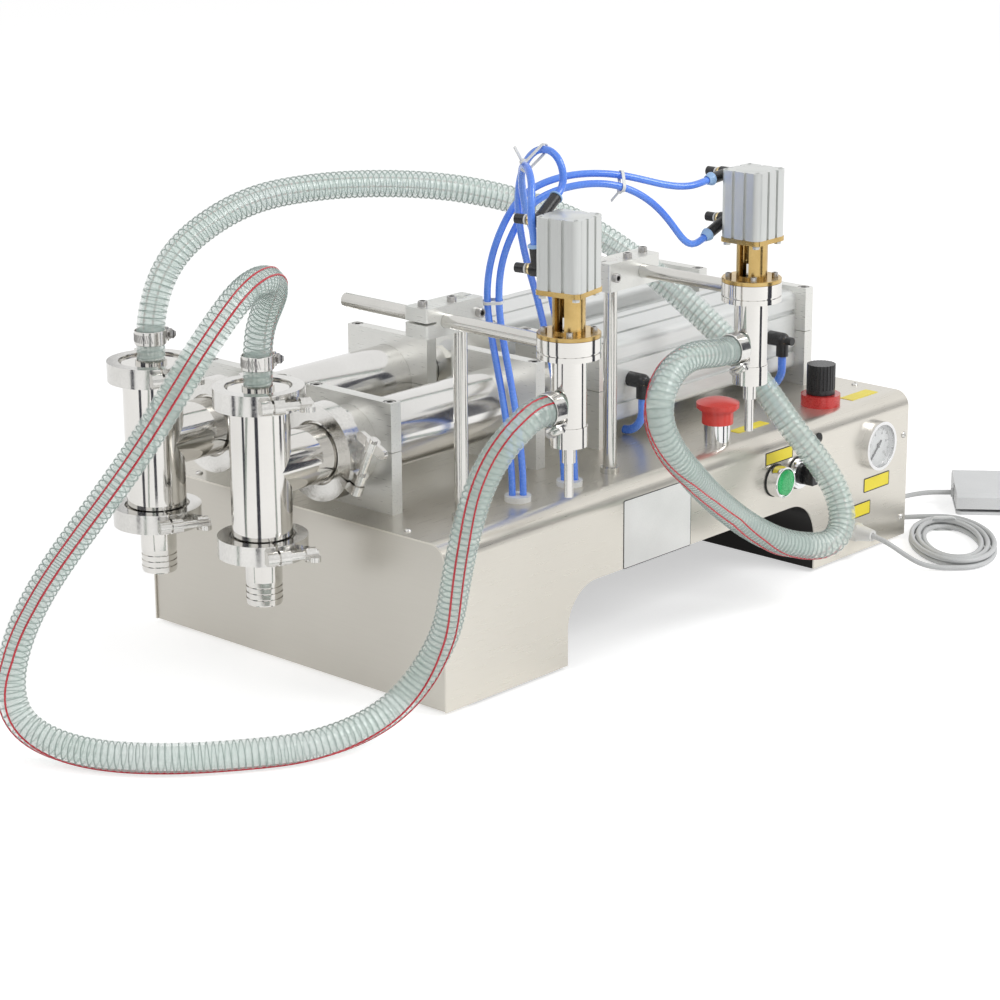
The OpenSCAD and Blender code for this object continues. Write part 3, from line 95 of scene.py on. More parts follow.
# %% Camera
YAW = 0.741
PITCH = 0.2948
ROLL = -0.0058
ahead = Vector((math.cos(YAW) * math.cos(PITCH), math.sin(YAW) * math.cos(PITCH), -math.sin(PITCH)))
level_right = Vector((math.sin(YAW), -math.cos(YAW), 0))
level_up = level_right.cross(ahead)
right = math.cos(ROLL) * level_right + math.sin(ROLL) * level_up
up = -math.sin(ROLL) * level_right + math.cos(ROLL) * level_up
camera_data = bpy.data.cameras.new("camera")
camera_data.sensor_width = 36.0
camera_data.lens = 104.12
camera = add_object("camera", camera_data)
camera_place = Vector((-2.01272, -1.66562, 0.8694))
camera.matrix_world = Matrix((
    (right.x, up.x, -ahead.x, camera_place.x),
    (right.y, up.y, -ahead.y, camera_place.y),
    (right.z, up.z, -ahead.z, camera_place.z),
    (0, 0, 0, 1),
))
bpy.context.scene.camera = camera
print("camera at", tuple(round(v, 3) for v in camera_place))

# %% [markdown]
# Finishes come before the pieces that wear them. Each finish is a small tree of nodes on the surface's
# own place (Object coordinates), so it stays the same from every side and moves with its piece. A picture
# could do it as well, but noise needs no unwrapping and has no edge where it repeats.
#
# One helper adds a node and wires it up, and one does so for a sum. The next builds the plain part that
# all finishes share: a fine grain and a wide cloud mixed into a colour, the grain alone driving the gloss
# and a shallow relief. Stretching the grain turns it into brushed or turned lines.

# %% A helper for nodes and the shared finish
def add_node(tree, kind, inputs=None, **settings):
    """Adds a node, sets its options, and links or sets the inputs."""
    made = tree.nodes.new(kind)
    for name, value in settings.items():
        setattr(made, name, value)
    for name, value in (inputs or {}).items():
        if isinstance(value, bpy.types.NodeSocket):
            tree.links.new(value, made.inputs[name])
        else:
            made.inputs[name].default_value = value
    return made


def sum_of(tree, operation, *values):
    """A math node's result from numbers or other nodes' results."""
    return add_node(tree, "ShaderNodeMath", dict(enumerate(values)), operation=operation).outputs[0]


def finish(name, dark, light, metallic=0.0, rough=(0.3, 0.4), stretch=(1, 1, 1), grain=900.0, cloud=9.0,
           relief=0.02, strength=0.25, share=0.45):
    """A finish that wanders between two colours, with its own grain, gloss and relief in millimetres."""
    made = bpy.data.materials.new(name)
    made.use_nodes = True
    tree = made.node_tree
    shader = tree.nodes["Principled BSDF"]
    shader.inputs["Metallic"].default_value = metallic
    place = add_node(tree, "ShaderNodeTexCoord").outputs["Object"]
    lines = add_node(tree, "ShaderNodeMapping", {"Vector": place, "Scale": stretch}).outputs["Vector"]
    fine = add_node(tree, "ShaderNodeTexNoise", {"Vector": lines, "Scale": grain, "Detail": 3.0})
    wide = add_node(tree, "ShaderNodeTexNoise", {"Vector": place, "Scale": cloud, "Detail": 2.0})
    part = sum_of(tree, "MULTIPLY", fine.outputs["Fac"], share)
    mixed = sum_of(tree, "MULTIPLY_ADD", wide.outputs["Fac"], 1 - share, part)
    ramp = add_node(tree, "ShaderNodeValToRGB", {"Fac": mixed})
    for end, position, colour in zip(ramp.color_ramp.elements, (0.36, 0.64), (dark, light)):
        end.position = position
        end.color = (*colour, 1)
    gloss = add_node(tree, "ShaderNodeMapRange", {
        "Value": fine.outputs["Fac"], "From Min": 0.3, "From Max": 0.7,
        "To Min": rough[0], "To Max": rough[1]})
    bump = add_node(tree, "ShaderNodeBump", {
        "Height": fine.outputs["Fac"], "Strength": strength, "Distance": relief * MM})
    tree.links.new(ramp.outputs["Color"], shader.inputs["Base Color"])
    tree.links.new(gloss.outputs["Result"], shader.inputs["Roughness"])
    tree.links.new(bump.outputs["Normal"], shader.inputs["Normal"])
    return made


def set_shader(made, **values):
    """Sets plain numbers on a finish's own shader."""
    shader = made.node_tree.nodes["Principled BSDF"]
    for name, value in values.items():
        shader.inputs[name.replace("_", " ")].default_value = value
    return made


print("helpers for finishes ready")

# %% [markdown]
# The cabinet is folded from stainless sheet with a fine brushed grain along its length, so it mirrors
# what stands on it only softly, in a warm grey. A grain stretched fifty times along x gives the lines.
# The brackets are thicker plate, paler, with a satin face. Tubes, clamps, posts and rods are polished
# bar and tube: nearly white where they see the room and dark where they see a dark edge of it.

# %% Steel finishes
cabinet_steel = finish("brushed_sheet_steel", (0.66, 0.63, 0.565), (0.72, 0.69, 0.625), 0.85, (0.27, 0.32),
                       (0.02, 1, 1), 1400, 5, 0.006, 0.12, 0.2)
panel_steel = finish("inner_sheet_steel", (0.56, 0.535, 0.485), (0.62, 0.595, 0.54), 0.85, (0.30, 0.36),
                     (1, 0.02, 1), 1400, 5, 0.006, 0.12, 0.2)
plate_steel = finish("satin_plate", (0.72, 0.72, 0.69), (0.79, 0.79, 0.755), 0.6, (0.27, 0.36),
                     (1, 0.05, 1), 1300, 12, 0.01, 0.2, 0.4)
tube_steel = finish("polished_tube_steel", (0.68, 0.665, 0.635), (0.76, 0.745, 0.715), 1.0, (0.06, 0.12),
                    (1, 1, 12), 260, 14, 0.008, 0.15, 0.3)
barrel_steel = finish("polished_barrel_steel", (0.68, 0.67, 0.65), (0.76, 0.75, 0.73), 1.0, (0.10, 0.17),
                      (12, 1, 1), 260, 14, 0.008, 0.15, 0.3)
clamp_steel = finish("cast_polished_steel", (0.62, 0.61, 0.585), (0.73, 0.72, 0.695), 1.0, (0.12, 0.22),
                     (1, 1, 1), 420, 25, 0.03, 0.3, 0.5)
bar_steel = finish("ground_bar_steel", (0.60, 0.59, 0.56), (0.69, 0.68, 0.65), 1.0, (0.14, 0.22),
                   (1, 1, 1), 1500, 18, 0.006, 0.2, 0.4)
chrome = finish("bright_chrome", (0.72, 0.72, 0.72), (0.80, 0.80, 0.80), 1.0, (0.04, 0.09),
                (1, 1, 1), 700, 30, 0.004, 0.1, 0.3)
screw_steel = finish("screw_steel", (0.40, 0.39, 0.38), (0.52, 0.51, 0.50), 1.0, (0.25, 0.38),
                     (1, 1, 1), 1800, 60, 0.02, 0.3, 0.5)
spring_steel = finish("spiral_wire", (0.11, 0.17, 0.15), (0.19, 0.26, 0.235), 0.3, (0.30, 0.40),
                      (1, 1, 1), 1500, 40, 0.01, 0.2, 0.4)
print("steel finishes ready")

# %% [markdown]
# The air cylinders are drawn aluminium with a clear anodised skin: a soft, milky white grey with faint
# lines along the draw. The lanterns under the small cylinders are turned brass, so their grain runs
# round them, and the brass has dulled a little in places.

# %% Aluminium and brass
barrel_aluminium = finish("anodised_barrel", (0.72, 0.735, 0.725), (0.79, 0.80, 0.79), 0.4, (0.30, 0.40),
                          (0.04, 1, 1), 1000, 8, 0.01, 0.2, 0.35)
head_aluminium = finish("anodised_head", (0.64, 0.655, 0.64), (0.72, 0.735, 0.715), 0.45, (0.28, 0.38),
                        (1, 1, 0.04), 1000, 12, 0.01, 0.2, 0.35)
brass = finish("turned_brass", (0.44, 0.29, 0.10), (0.64, 0.46, 0.19), 1.0, (0.16, 0.28),
               (1, 1, 10), 500, 40, 0.02, 0.3, 0.35)
ring_gold = finish("gilt_ring", (0.62, 0.48, 0.24), (0.74, 0.62, 0.38), 1.0, (0.18, 0.28),
                   (1, 1, 1), 900, 60, 0.01, 0.2, 0.4)
plate_white = finish("white_plate", (0.77, 0.78, 0.78), (0.83, 0.84, 0.84), 0.15, (0.32, 0.42),
                     (0.05, 1, 1), 1200, 20, 0.008, 0.2, 0.4)
print("aluminium and brass ready")

# %% [markdown]
# Moulded plastics have an even colour with a faint orange-peel skin. Painted or coloured tubing is
# glossier. The button cap and the push-in tubes have a clear top layer, which the coat gives.

# %% Plastics and rubber
def plastic(name, dark, light, rough, grain, cloud, relief, strength, share=0.5, metallic=0.0, **values):
    """A finish without a direction, with numbers of its shader set by name."""
    made = finish(name, dark, light, metallic, rough, (1, 1, 1), grain, cloud, relief, strength, share)
    return set_shader(made, **values)


black_plastic = plastic("moulded_black", (0.012, 0.012, 0.013), (0.026, 0.026, 0.028), (0.24, 0.38),
                        1300, 40, 0.03, 0.3)
black_rubber = plastic("foot_rubber", (0.010, 0.010, 0.010), (0.024, 0.023, 0.022), (0.6, 0.8),
                       900, 50, 0.08, 0.5, 0.6)
white_plastic = plastic("moulded_white", (0.74, 0.74, 0.72), (0.81, 0.81, 0.79), (0.32, 0.44),
                        1200, 40, 0.03, 0.25)
ball_plastic = plastic("ball_plastic", (0.78, 0.78, 0.76), (0.84, 0.84, 0.82), (0.25, 0.35),
                       900, 60, 0.01, 0.2)
grey_plastic = plastic("moulded_pale_grey", (0.70, 0.71, 0.715), (0.77, 0.78, 0.785), (0.40, 0.55),
                       1000, 20, 0.05, 0.4)
red_plastic = plastic("moulded_red", (0.62, 0.035, 0.028), (0.75, 0.060, 0.045), (0.28, 0.38),
                      1100, 25, 0.02, 0.25, Coat_Weight=0.25)
red_ring = plastic("painted_red", (0.50, 0.018, 0.018), (0.62, 0.035, 0.030), (0.22, 0.32),
                   1100, 30, 0.02, 0.25, metallic=0.1, Coat_Weight=0.4)
green_plastic = plastic("moulded_green", (0.030, 0.62, 0.17), (0.060, 0.76, 0.25), (0.22, 0.32),
                        1100, 40, 0.01, 0.2, Coat_Weight=0.4)
blue_tubing = plastic("blue_tubing", (0.085, 0.235, 0.90), (0.13, 0.33, 0.98), (0.20, 0.30),
                      600, 25, 0.02, 0.2, 0.35, Coat_Weight=0.5, Coat_Roughness=0.12)
collar_blue = plastic("collar_blue", (0.30, 0.50, 0.80), (0.40, 0.60, 0.88), (0.3, 0.4),
                      1200, 60, 0.02, 0.25)
cable_grey = plastic("cable_sheath", (0.55, 0.56, 0.56), (0.64, 0.65, 0.65), (0.38, 0.52),
                     900, 15, 0.04, 0.35)
tie_white = plastic("tie_nylon", (0.72, 0.73, 0.72), (0.80, 0.81, 0.80), (0.35, 0.5),
                    1500, 60, 0.03, 0.3)
label_yellow = plastic("bare_yellow_plate", (0.88, 0.72, 0.030), (0.94, 0.79, 0.05), (0.32, 0.44),
                       1000, 30, 0.01, 0.2, 0.4)
label_white = plastic("bare_grey_plate", (0.78, 0.78, 0.76), (0.84, 0.84, 0.82), (0.30, 0.42),
                      1000, 30, 0.01, 0.2, 0.4, metallic=0.1)
print("plastic finishes ready")

# %% [markdown]
# The product hose is clear food-grade vinyl with a slight green cast and a steel spiral in its wall.
# Light passes it twice, through the near and the far wall, so each wall is part clear: alpha lets what
# is behind show, and the coat gives the wet-looking skin. The stripes are coloured strings of the same
# vinyl.

# %% Clear hose and its stripes
clear_vinyl = plastic("clear_vinyl", (0.82, 0.975, 0.905), (0.90, 1.0, 0.96), (0.12, 0.2),
                      350, 18, 0.03, 0.2, 0.35, Alpha=0.34, Coat_Weight=0.6, Coat_Roughness=0.08, IOR=1.5)
stripe_red = plastic("stripe_red", (0.50, 0.020, 0.035), (0.64, 0.040, 0.06), (0.2, 0.3),
                     700, 30, 0.01, 0.2, 0.4)
clear_glass = plastic("gauge_glass", (0.90, 0.92, 0.92), (0.95, 0.96, 0.96), (0.02, 0.05),
                      300, 30, 0.002, 0.05, 0.3, Alpha=0.16, Coat_Weight=1.0, Coat_Roughness=0.03)
print("clear finishes ready")

# %% [markdown]
# The sheet that lines the arch is given painted shade on its underside: its colour there is near black,
# standing in for the shade under the arch, where no light and no polish comes. It is one solid with the end
# panels, so its place tells them apart: it lies within 30 cm of the arch's middle.

# %% Painted shade for the arch lining
tree = panel_steel.node_tree
place = add_node(tree, "ShaderNodeSeparateXYZ", {0: add_node(tree, "ShaderNodeTexCoord").outputs["Object"]})
ARCH_X = 1.8
ARCH_REACH = 0.3
from_middle = sum_of(tree, "SUBTRACT", place.outputs["X"], (ARCH_X - X_MID) * MM)
arch_shade_mask = sum_of(tree, "LESS_THAN", sum_of(tree, "ABSOLUTE", from_middle), ARCH_REACH)
shader = tree.nodes["Principled BSDF"]
steel_colour = shader.inputs["Base Color"].links[0].from_socket
# Painted shade: inside the arch the steel colour is mixed to a near-black colour in place of the shade that
# falls there.
dimmed = add_node(tree, "ShaderNodeMix", {"Factor": arch_shade_mask}, data_type="RGBA")
tree.links.new(steel_colour, dimmed.inputs["A"])
dimmed.inputs["B"].default_value = (0.020, 0.019, 0.018, 1)
tree.links.new(dimmed.outputs["Result"], shader.inputs["Base Color"])
print("arch lining dimmed")

# %% [markdown]
# The solids already have the right shapes, so they keep them and only get their finish.

# %% Finishes of the solids
WORN_BY = (
    (cabinet_steel, "cabinet_shell"), (panel_steel, "cabinet_panels"), (black_rubber, "feet"),
    (plate_steel, "brackets_lower brackets_upper arm_block_left arm_block_right"),
    (barrel_steel, "product_cylinder_front product_cylinder_back"),
    (barrel_aluminium, "air_cylinder_front air_cylinder_back"),
    (bar_steel, "piston_rod_front piston_rod_back posts arm_rod_left arm_rod_right"),
    (bar_steel, "plunger_left plunger_right"), (clamp_steel, "tri_clamps"),
    (tube_steel, "valve_body_front valve_body_back valve_lids supply_barbs"),
    (tube_steel, "nozzle_body_left nozzle_body_right nozzle_tip_left nozzle_tip_right"),
    (ball_plastic, "inlet_ball_front inlet_ball_back outlet_ball_front outlet_ball_back"),
    (brass, "lantern_left lantern_right"), (head_aluminium, "head_cylinder_left head_cylinder_right"),
    (black_plastic, "head_fittings_left head_fittings_right air_fittings selector_knob regulator_knob"),
    (black_plastic, "gauge_needle"), (chrome, "button_bezels stop_neck gauge_case"),
    (red_ring, "regulator_ring"), (red_plastic, "stop_button"), (green_plastic, "start_button"),
    (white_plastic, "glands"), (grey_plastic, "foot_switch_base pedal"),
    (clear_vinyl, "hose_front hose_back"), (cable_grey, "cable_lead cable_hank cable_tail"),
    (blue_tubing, "cylinder_tubes tube_left_top tube_left_low tube_right_top tube_right_low"),
)
solid_finishes = {name: made for made, names in WORN_BY for name in names.split()}
for name, solid in nodes.items():
    solid.data.materials.clear()
    solid.data.materials.append(solid_finishes[name])
print(len(solid_finishes), "solids have their finish")

# %% [markdown]
# Hoses, tubes and the cable come next, because everything else has to stay clear of them. Each follows a
# route of a few points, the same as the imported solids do, on one smooth curve. A cubic B-spline led by
# the points bends evenly, and its ends are padded with a mirrored point so that it starts and ends where
# the route does, straight in line with the fitting.

# %% One smooth line from a route
def smooth_line(route, spacing):
    """Places every so many metres along the route's curve, its first and last point included."""
    p = np.array(route, float)
    p = np.vstack([2 * p[0] - p[1], p, 2 * p[-1] - p[-2]])
    t = np.linspace(0, 1, 24, endpoint=False)[:, None]
    runs = []
    for a, b, c, d in zip(p, p[1:], p[2:], p[3:]):
        share_b = 3 * t**3 - 6 * t**2 + 4
        share_c = 1 + 3 * t + 3 * t**2 - 3 * t**3
        runs.append(((1 - t)**3 * a + share_b * b + share_c * c + t**3 * d) / 6)
    fine = np.vstack([*runs, p[-2]])
    walked = np.concatenate([[0], np.cumsum(np.linalg.norm(np.diff(fine, axis=0), axis=1))])
    count = max(2, round(walked[-1] / spacing))
    wanted = np.linspace(0, walked[-1], count + 1)
    return np.stack([np.interp(wanted, walked, fine[:, k]) for k in range(3)], axis=1)


def length_of(line):
    """How long a line of points is, in metres."""
    return float(np.linalg.norm(np.diff(line, axis=0), axis=1).sum())


bent_line = smooth_line([(0, 0, 0), (0.5, 0, 0), (0.5, 0.5, 0)], 10 * MM)
print("a bend with two legs of 0.5 m is rounded to", round(length_of(bent_line), 3), "m")

# %% [markdown]
# A tube needs to know its sideways directions at each point. Two of them are carried along the line and
# turned only as far as the line itself turns, so the tube doesn't twist, and a stripe drawn along it
# stays on the same side.

# %% Directions across a line
def across_line(line):
    """Two unit vectors across the line at each point, carried along without twist."""
    ways = np.gradient(line, axis=0)
    ways /= np.linalg.norm(ways, axis=1)[:, None]
    side = np.cross(ways[0], np.array((0, 0, 1.0)))
    if np.linalg.norm(side) < 0.1:
        side = np.cross(ways[0], np.array((1.0, 0, 0)))
    sides = []
    for way in ways:
        side = side - way * (side @ way)
        side = side / np.linalg.norm(side)
        sides.append(side)
    sides = np.array(sides)
    return sides, np.cross(ways, sides)


bent_sides, bent_tops = across_line(bent_line)
slant = float(np.abs((bent_sides * bent_tops).sum(axis=1)).max())
print("the two directions are square to each other:", slant < 1e-9)

# %% [markdown]
# The wall itself starts as a flat grid: one direction will run along the cord and the other round it.
# The grid comes with its own map (u along, v round). Its vertices are then moved onto the cord, and the
# seam where both sides of the grid meet is merged. A second run of rings on the way back makes the bore,
# so the wall has a real thickness and its ends are closed.

# %% A tube wrapped from a grid
def wrap_tube(name, centres, sides, tops, radii, steps, made_of, closed=False):
    """A tube over rings of the given centre and radius. radii is a number for each ring and step."""
    count = len(centres)
    bm = bmesh.new()
    bm.loops.layers.uv.new("surface")
    bmesh.ops.create_grid(bm, x_segments=count - 1, y_segments=steps, size=1.0, calc_uvs=True)
    mesh = bpy.data.meshes.new(name)
    bm.to_mesh(mesh)
    flat = np.zeros(len(mesh.vertices) * 3)
    mesh.vertices.foreach_get("co", flat)
    flat = flat.reshape(-1, 3)
    ring = np.rint((flat[:, 0] + 1) / 2 * (count - 1)).astype(int)
    step = np.rint((flat[:, 1] + 1) / 2 * steps).astype(int) % steps
    angle = 2 * np.pi * step / steps
    far = radii[ring, step][:, None]
    place = centres[ring] + far * (np.cos(angle)[:, None] * sides[ring] + np.sin(angle)[:, None] * tops[ring])
    mesh.vertices.foreach_set("co", place.astype(np.float32).ravel())
    bm.clear()
    bm.from_mesh(mesh)
    bmesh.ops.remove_doubles(bm, verts=bm.verts, dist=1e-6)
    if not closed:
        bmesh.ops.holes_fill(bm, edges=[e for e in bm.edges if e.is_boundary], sides=steps)
    bmesh.ops.recalc_face_normals(bm, faces=bm.faces)
    bm.to_mesh(mesh)
    bm.free()
    mesh.shade_smooth()
    mesh.materials.append(made_of)
    return add_object(name, mesh)


print("tubes are wrapped from grids")

# %% [markdown]
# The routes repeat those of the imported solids. They are kept as whole hundredths of a millimetre, which
# reads more easily than metres, and are turned into metres at the end.

# %% Routes of the hoses, tubes and cable
UNITS_PER_METRE = 1e5
ROUTE_POINTS = {
    "hose_front": [
        (-45555, 2635, 27420), (-45555, 2635, 28700), (-45555, 2635, 30000), (-45855, 1885, 32500),
        (-46155, 485, 34400), (-47255, -1515, 36300), (-49955, -3615, 37900), (-52655, -4715, 38000),
        (-54755, -5215, 37300), (-56555, -5215, 35800), (-58055, -4815, 34000), (-59155, -4215, 32200),
        (-61255, -1915, 27200), (-62655, -115, 23900), (-63655, 1485, 21400), (-64755, 3285, 18600),
        (-66055, 5285, 15300), (-67055, 6985, 12000), (-67755, 8085, 8800), (-68155, 8385, 6000),
        (-68155, 7785, 3600), (-67455, 5985, 2100), (-66355, 2885, 1400), (-64955, -315, 1300),
        (-62655, -3515, 1300), (-59855, -6115, 1300), (-56055, -8815, 1300), (-53255, -10315, 1300),
        (-49655, -11515, 1700), (-45755, -12115, 2600), (-43455, -13215, 4900), (-42755, -14515, 7500),
        (-42555, -15715, 10000), (-42855, -16715, 13600), (-42955, -17615, 16900), (-42955, -18515, 19700),
        (-42855, -19415, 22300), (-42255, -20515, 24800), (-41555, -21415, 26300), (-40655, -22015, 27400),
        (-39455, -22115, 28000), (-38255, -22115, 28000), (-36765, -22115, 28000),
    ],
    "hose_back": [
        (-45555, 15875, 27420), (-45555, 15875, 28700), (-45555, 15875, 30000), (-44755, 15885, 33100),
        (-42555, 15885, 36100), (-38655, 15485, 38200), (-34255, 14885, 39600), (-29455, 13885, 39900),
        (-23555, 11985, 39800), (-16455, 9485, 38900), (-11055, 6485, 37400), (-5755, 3485, 35100),
        (-2455, 1285, 32600), (245, -1515, 29700), (1845, -4515, 26900), (2845, -7715, 24200),
        (3645, -10515, 21200), (4045, -12715, 18600), (4745, -14315, 16300), (5845, -15515, 14300),
        (6845, -16515, 12400), (7345, -17415, 10700), (7345, -18215, 9100), (6645, -18915, 7650),
        (5445, -19115, 6500), (3945, -19015, 6250), (2145, -18215, 6400), (-1555, -17815, 7600),
        (-5855, -17815, 10000), (-9955, -18215, 12700), (-14655, -19415, 15850), (-18455, -20915, 18450),
        (-21355, -21665, 20600), (-22905, -21815, 22500), (-23755, -21815, 24300), (-23455, -21615, 26000),
        (-22055, -21315, 27500), (-19955, -21015, 28400), (-17355, -20815, 28500), (-14755, -20815, 28000),
        (-11765, -20815, 28000),
    ],
    "tube_left_top": [
        (-18985, -7385, 13800), (-18985, -7385, 15400), (-19155, -7415, 17600), (-19655, -7465, 21000),
        (-20955, -7815, 25600), (-22655, -8415, 29500), (-24855, -9315, 33500), (-27955, -10665, 37600),
        (-30505, -12315, 42300), (-31305, -13515, 45100), (-31755, -15265, 46950), (-32005, -17115, 47300),
        (-32055, -18315, 46600), (-31955, -18715, 45200), (-32325, -18705, 44190), (-33195, -18865, 43740),
        (-33855, -18985, 43400),
    ],
    "tube_left_low": [
        (-18325, -8045, 13800), (-18325, -8045, 15400), (-18505, -8115, 17600), (-19055, -8165, 21000),
        (-20255, -8515, 25600), (-21955, -9215, 29600), (-24155, -10315, 33600), (-27255, -11915, 37850),
        (-29955, -12815, 41200), (-31755, -13965, 44000), (-33305, -15365, 45950), (-34755, -17315, 46400),
        (-36155, -19115, 45300), (-36965, -19595, 43130), (-36635, -19515, 41770), (-36305, -19455, 40420),
        (-36125, -19415, 39680),
    ],
    "tube_right_top": [
        (-25385, -7085, 13800), (-25385, -7085, 15400), (-25505, -7115, 17600), (-25955, -7165, 21000),
        (-27155, -7315, 25800), (-28655, -7615, 30500), (-29555, -8015, 33500), (-29755, -8615, 36700),
        (-29055, -9515, 39900), (-28055, -10715, 42400), (-25955, -12515, 43600), (-23455, -14015, 43800),
        (-20755, -15315, 43400), (-18155, -16615, 42500), (-16555, -17465, 42050), (-14955, -17965, 41930),
        (-13555, -18065, 42120), (-11705, -18035, 42280),
    ],
    "tube_right_low": [
        (-24725, -7745, 13800), (-24725, -7745, 15400), (-24855, -7815, 17600), (-25355, -7865, 21000),
        (-26555, -8015, 25800), (-28055, -8315, 30500), (-28855, -8715, 33500), (-29155, -9315, 36600),
        (-28555, -10315, 39600), (-27655, -11615, 41900), (-25755, -13415, 42900), (-23355, -14915, 43100),
        (-21055, -16015, 42500), (-18855, -16915, 41100), (-17255, -17615, 39200), (-16055, -17915, 37500),
        (-14855, -18065, 36850), (-13455, -18065, 37300), (-12095, -18045, 37830),
    ],
    "cable_lead": [
        (18595, -13815, 2600), (18595, -14715, 2500), (18745, -15915, 2100), (19045, -17215, 1400),
        (19345, -18415, 800), (19745, -19515, 450), (20645, -20715, 300), (21315, -21385, 300),
        (21985, -22115, 300),
    ],
    "cable_tail": [
        (32905, -12115, 860), (32225, -11375, 860), (31245, -10215, 800), (30445, -8715, 600),
        (30245, -7215, 400), (30845, -5715, 300), (32145, -4715, 300), (33945, -4615, 500),
        (35845, -5215, 800), (37445, -6415, 1100), (38395, -7415, 1200), (39075, -8165, 1200),
        (39945, -9275, 1200),
    ],
}
ROUTES = {name: [tuple(value / UNITS_PER_METRE for value in point) for point in points]
          for name, points in ROUTE_POINTS.items()}
print("routes:", {name: len(points) for name, points in ROUTES.items()}, "points")

# %% [markdown]
# Each product hose is 25 mm across with a 19 mm bore. Its skin rises a little over the steel spiral, and
# that ripple is what catches the light on the real hose. The ripple is a cosine that runs round and
# along at once, so it follows the same helix as the wire. The wire itself is a thin tube along that
# helix, with four sides, because it has hundreds of turns.

# %% The wall and the wire of a product hose
HOSE_R = 12.5 * MM
BORE_R = 9.5 * MM
TURN_LENGTH = 5.5 * MM
RIPPLE = 0.22 * MM
WIRE_R = 0.52 * MM
WIRE_DEPTH = 0.9 * MM
HOSE_STEPS = 24
WIRE_STEPS = 18


def pipe(name, line, sides, tops, outer, inner, back, steps, made_of):
    """A closed wall: rings of the outer radii along a line, rings of the inner radii on the way back."""
    there_and_back = [np.vstack([grid, grid[back], grid[:1]]) for grid in (line, sides, tops, outer)]
    there_and_back[3][len(line):-1] = inner
    return wrap_tube(name, *there_and_back, steps, made_of, closed=True)


def string(name, line, radius, steps, made_of):
    """A thin tube of one thickness along a line, with its ends filled."""
    sides, tops = across_line(line)
    return wrap_tube(name, line, sides, tops, np.full((len(line), steps), radius), steps, made_of)


def product_hose(name, route):
    """The wall of a clear hose and the wire in it."""
    line = smooth_line(route, 0.92 * MM)
    sides, tops = across_line(line)
    length = length_of(line)
    walked = np.linspace(0, length, len(line))
    angle = np.arange(HOSE_STEPS) * 2 * np.pi / HOSE_STEPS
    ripple = RIPPLE * np.cos(2 * np.pi * walked[:, None] / TURN_LENGTH - angle[None, :])
    outer = HOSE_R - RIPPLE + ripple
    back = np.arange(len(line) - 1, -1, -4)
    wall = pipe(name, line, sides, tops, outer, BORE_R, back, HOSE_STEPS, clear_vinyl)
    turns = length / TURN_LENGTH
    count = int(turns * WIRE_STEPS)
    at_share = np.linspace(0, 1, count)
    index = at_share * (len(line) - 1)
    mid = np.stack([np.interp(index, np.arange(len(line)), line[:, k]) for k in range(3)], axis=1)
    near = np.rint(index).astype(int)
    turn = 2 * np.pi * at_share * turns
    round_it = np.cos(turn)[:, None] * sides[near] + np.sin(turn)[:, None] * tops[near]
    wire = string(name + "_wire", mid + (HOSE_R - WIRE_DEPTH) * round_it, WIRE_R, 4, spring_steel)
    print(name, "is", round(length, 3), "m with", round(turns), "turns of wire")
    return wall, wire, line, sides, tops


# %% [markdown]
# Two red strings run along the outside of each hose, eight millimetres apart. They are thin tubes pressed
# into the skin. A hose twists a little when it is pushed onto its barbs, so the angle of its strings
# wanders: it is given in degrees at a few shares of the length, and read off in between.

# %% Stripes on a hose
STRIPE_DEPTH = 0.30 * MM
STRIPES_APART = 19


def hose_stripe(name, line, sides, tops, wander, apart, thick):
    """A coloured string along the hose, at an angle round it that wanders."""
    share, degrees = zip(*wander)
    turn = np.radians(np.interp(np.linspace(0, 1, len(line)), share, degrees) + apart)[:, None]
    keep = np.arange(0, len(line), 5)
    centre = line + (HOSE_R - STRIPE_DEPTH) * (np.cos(turn) * sides + np.sin(turn) * tops)
    return string(name, centre[keep], thick, 8, stripe_red)


print("strings stand", round(2 * HOSE_R / MM * math.sin(math.radians(STRIPES_APART)), 1), "mm apart")

# %% [markdown]
# Both hoses are made now. The table holds, for each, the head that it reaches, the line along which it is to
# take over the head's motion, from the first place to the second, and how its strings wander; only the wander
# is used here, and the head is printed. The lines are 11 to 20 cm long, because a shorter stretch would
# crease the hose more when the head slides.


HOSES = {
    "hose_front": ("head_left", (0, -0.128, 0), (0, -0.2375, 0.0164), [
        (0, 272), (0.16, 275), (0.40, 280), (0.44, 288), (0.48, 319), (0.52, 360), (0.56, 374), (0.66, 372),
        (0.70, 355), (0.74, 334), (0.80, 303), (0.84, 289), (0.88, 277), (0.92, 258), (0.96, 240), (1, 244)]),
    "hose_back": ("head_right", (0, -0.030, 0), (-0.0564, -0.2181, 0), [
        (0, -33), (0.16, -9), (0.40, -4), (0.48, -2), (0.56, -2), (0.60, 0), (0.64, 4), (0.68, 30),
        (0.72, 66), (0.76, 84), (0.80, 73), (0.84, 52), (0.88, 12), (0.92, -35), (1, -60)]),
}
for name, (head, start, end, wander) in HOSES.items():
    wall, wire, line, sides, tops = product_hose(name + "_clear", ROUTES[name])
    thick = hose_stripe(name + "_stripe_thick", line, sides, tops, wander, -STRIPES_APART, 0.85 * MM)
    thin = hose_stripe(name + "_stripe_thin", line, sides, tops, wander, STRIPES_APART, 0.75 * MM)
    for piece in (wall, wire, thick, thin):
        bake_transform(piece)
    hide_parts(name)
    print(name, "follows", head)

# %% [markdown]
# The four blue tubes are 6 mm polyurethane, pushed into the fittings of the small cylinders and into
# white grommets on the deck. They have a 4 mm bore.

# %% Air tubes
TUBE_R = 3.0 * MM
TUBE_BORE_R = 2 * MM
TUBE_STEPS = 16
tube_lines = {}


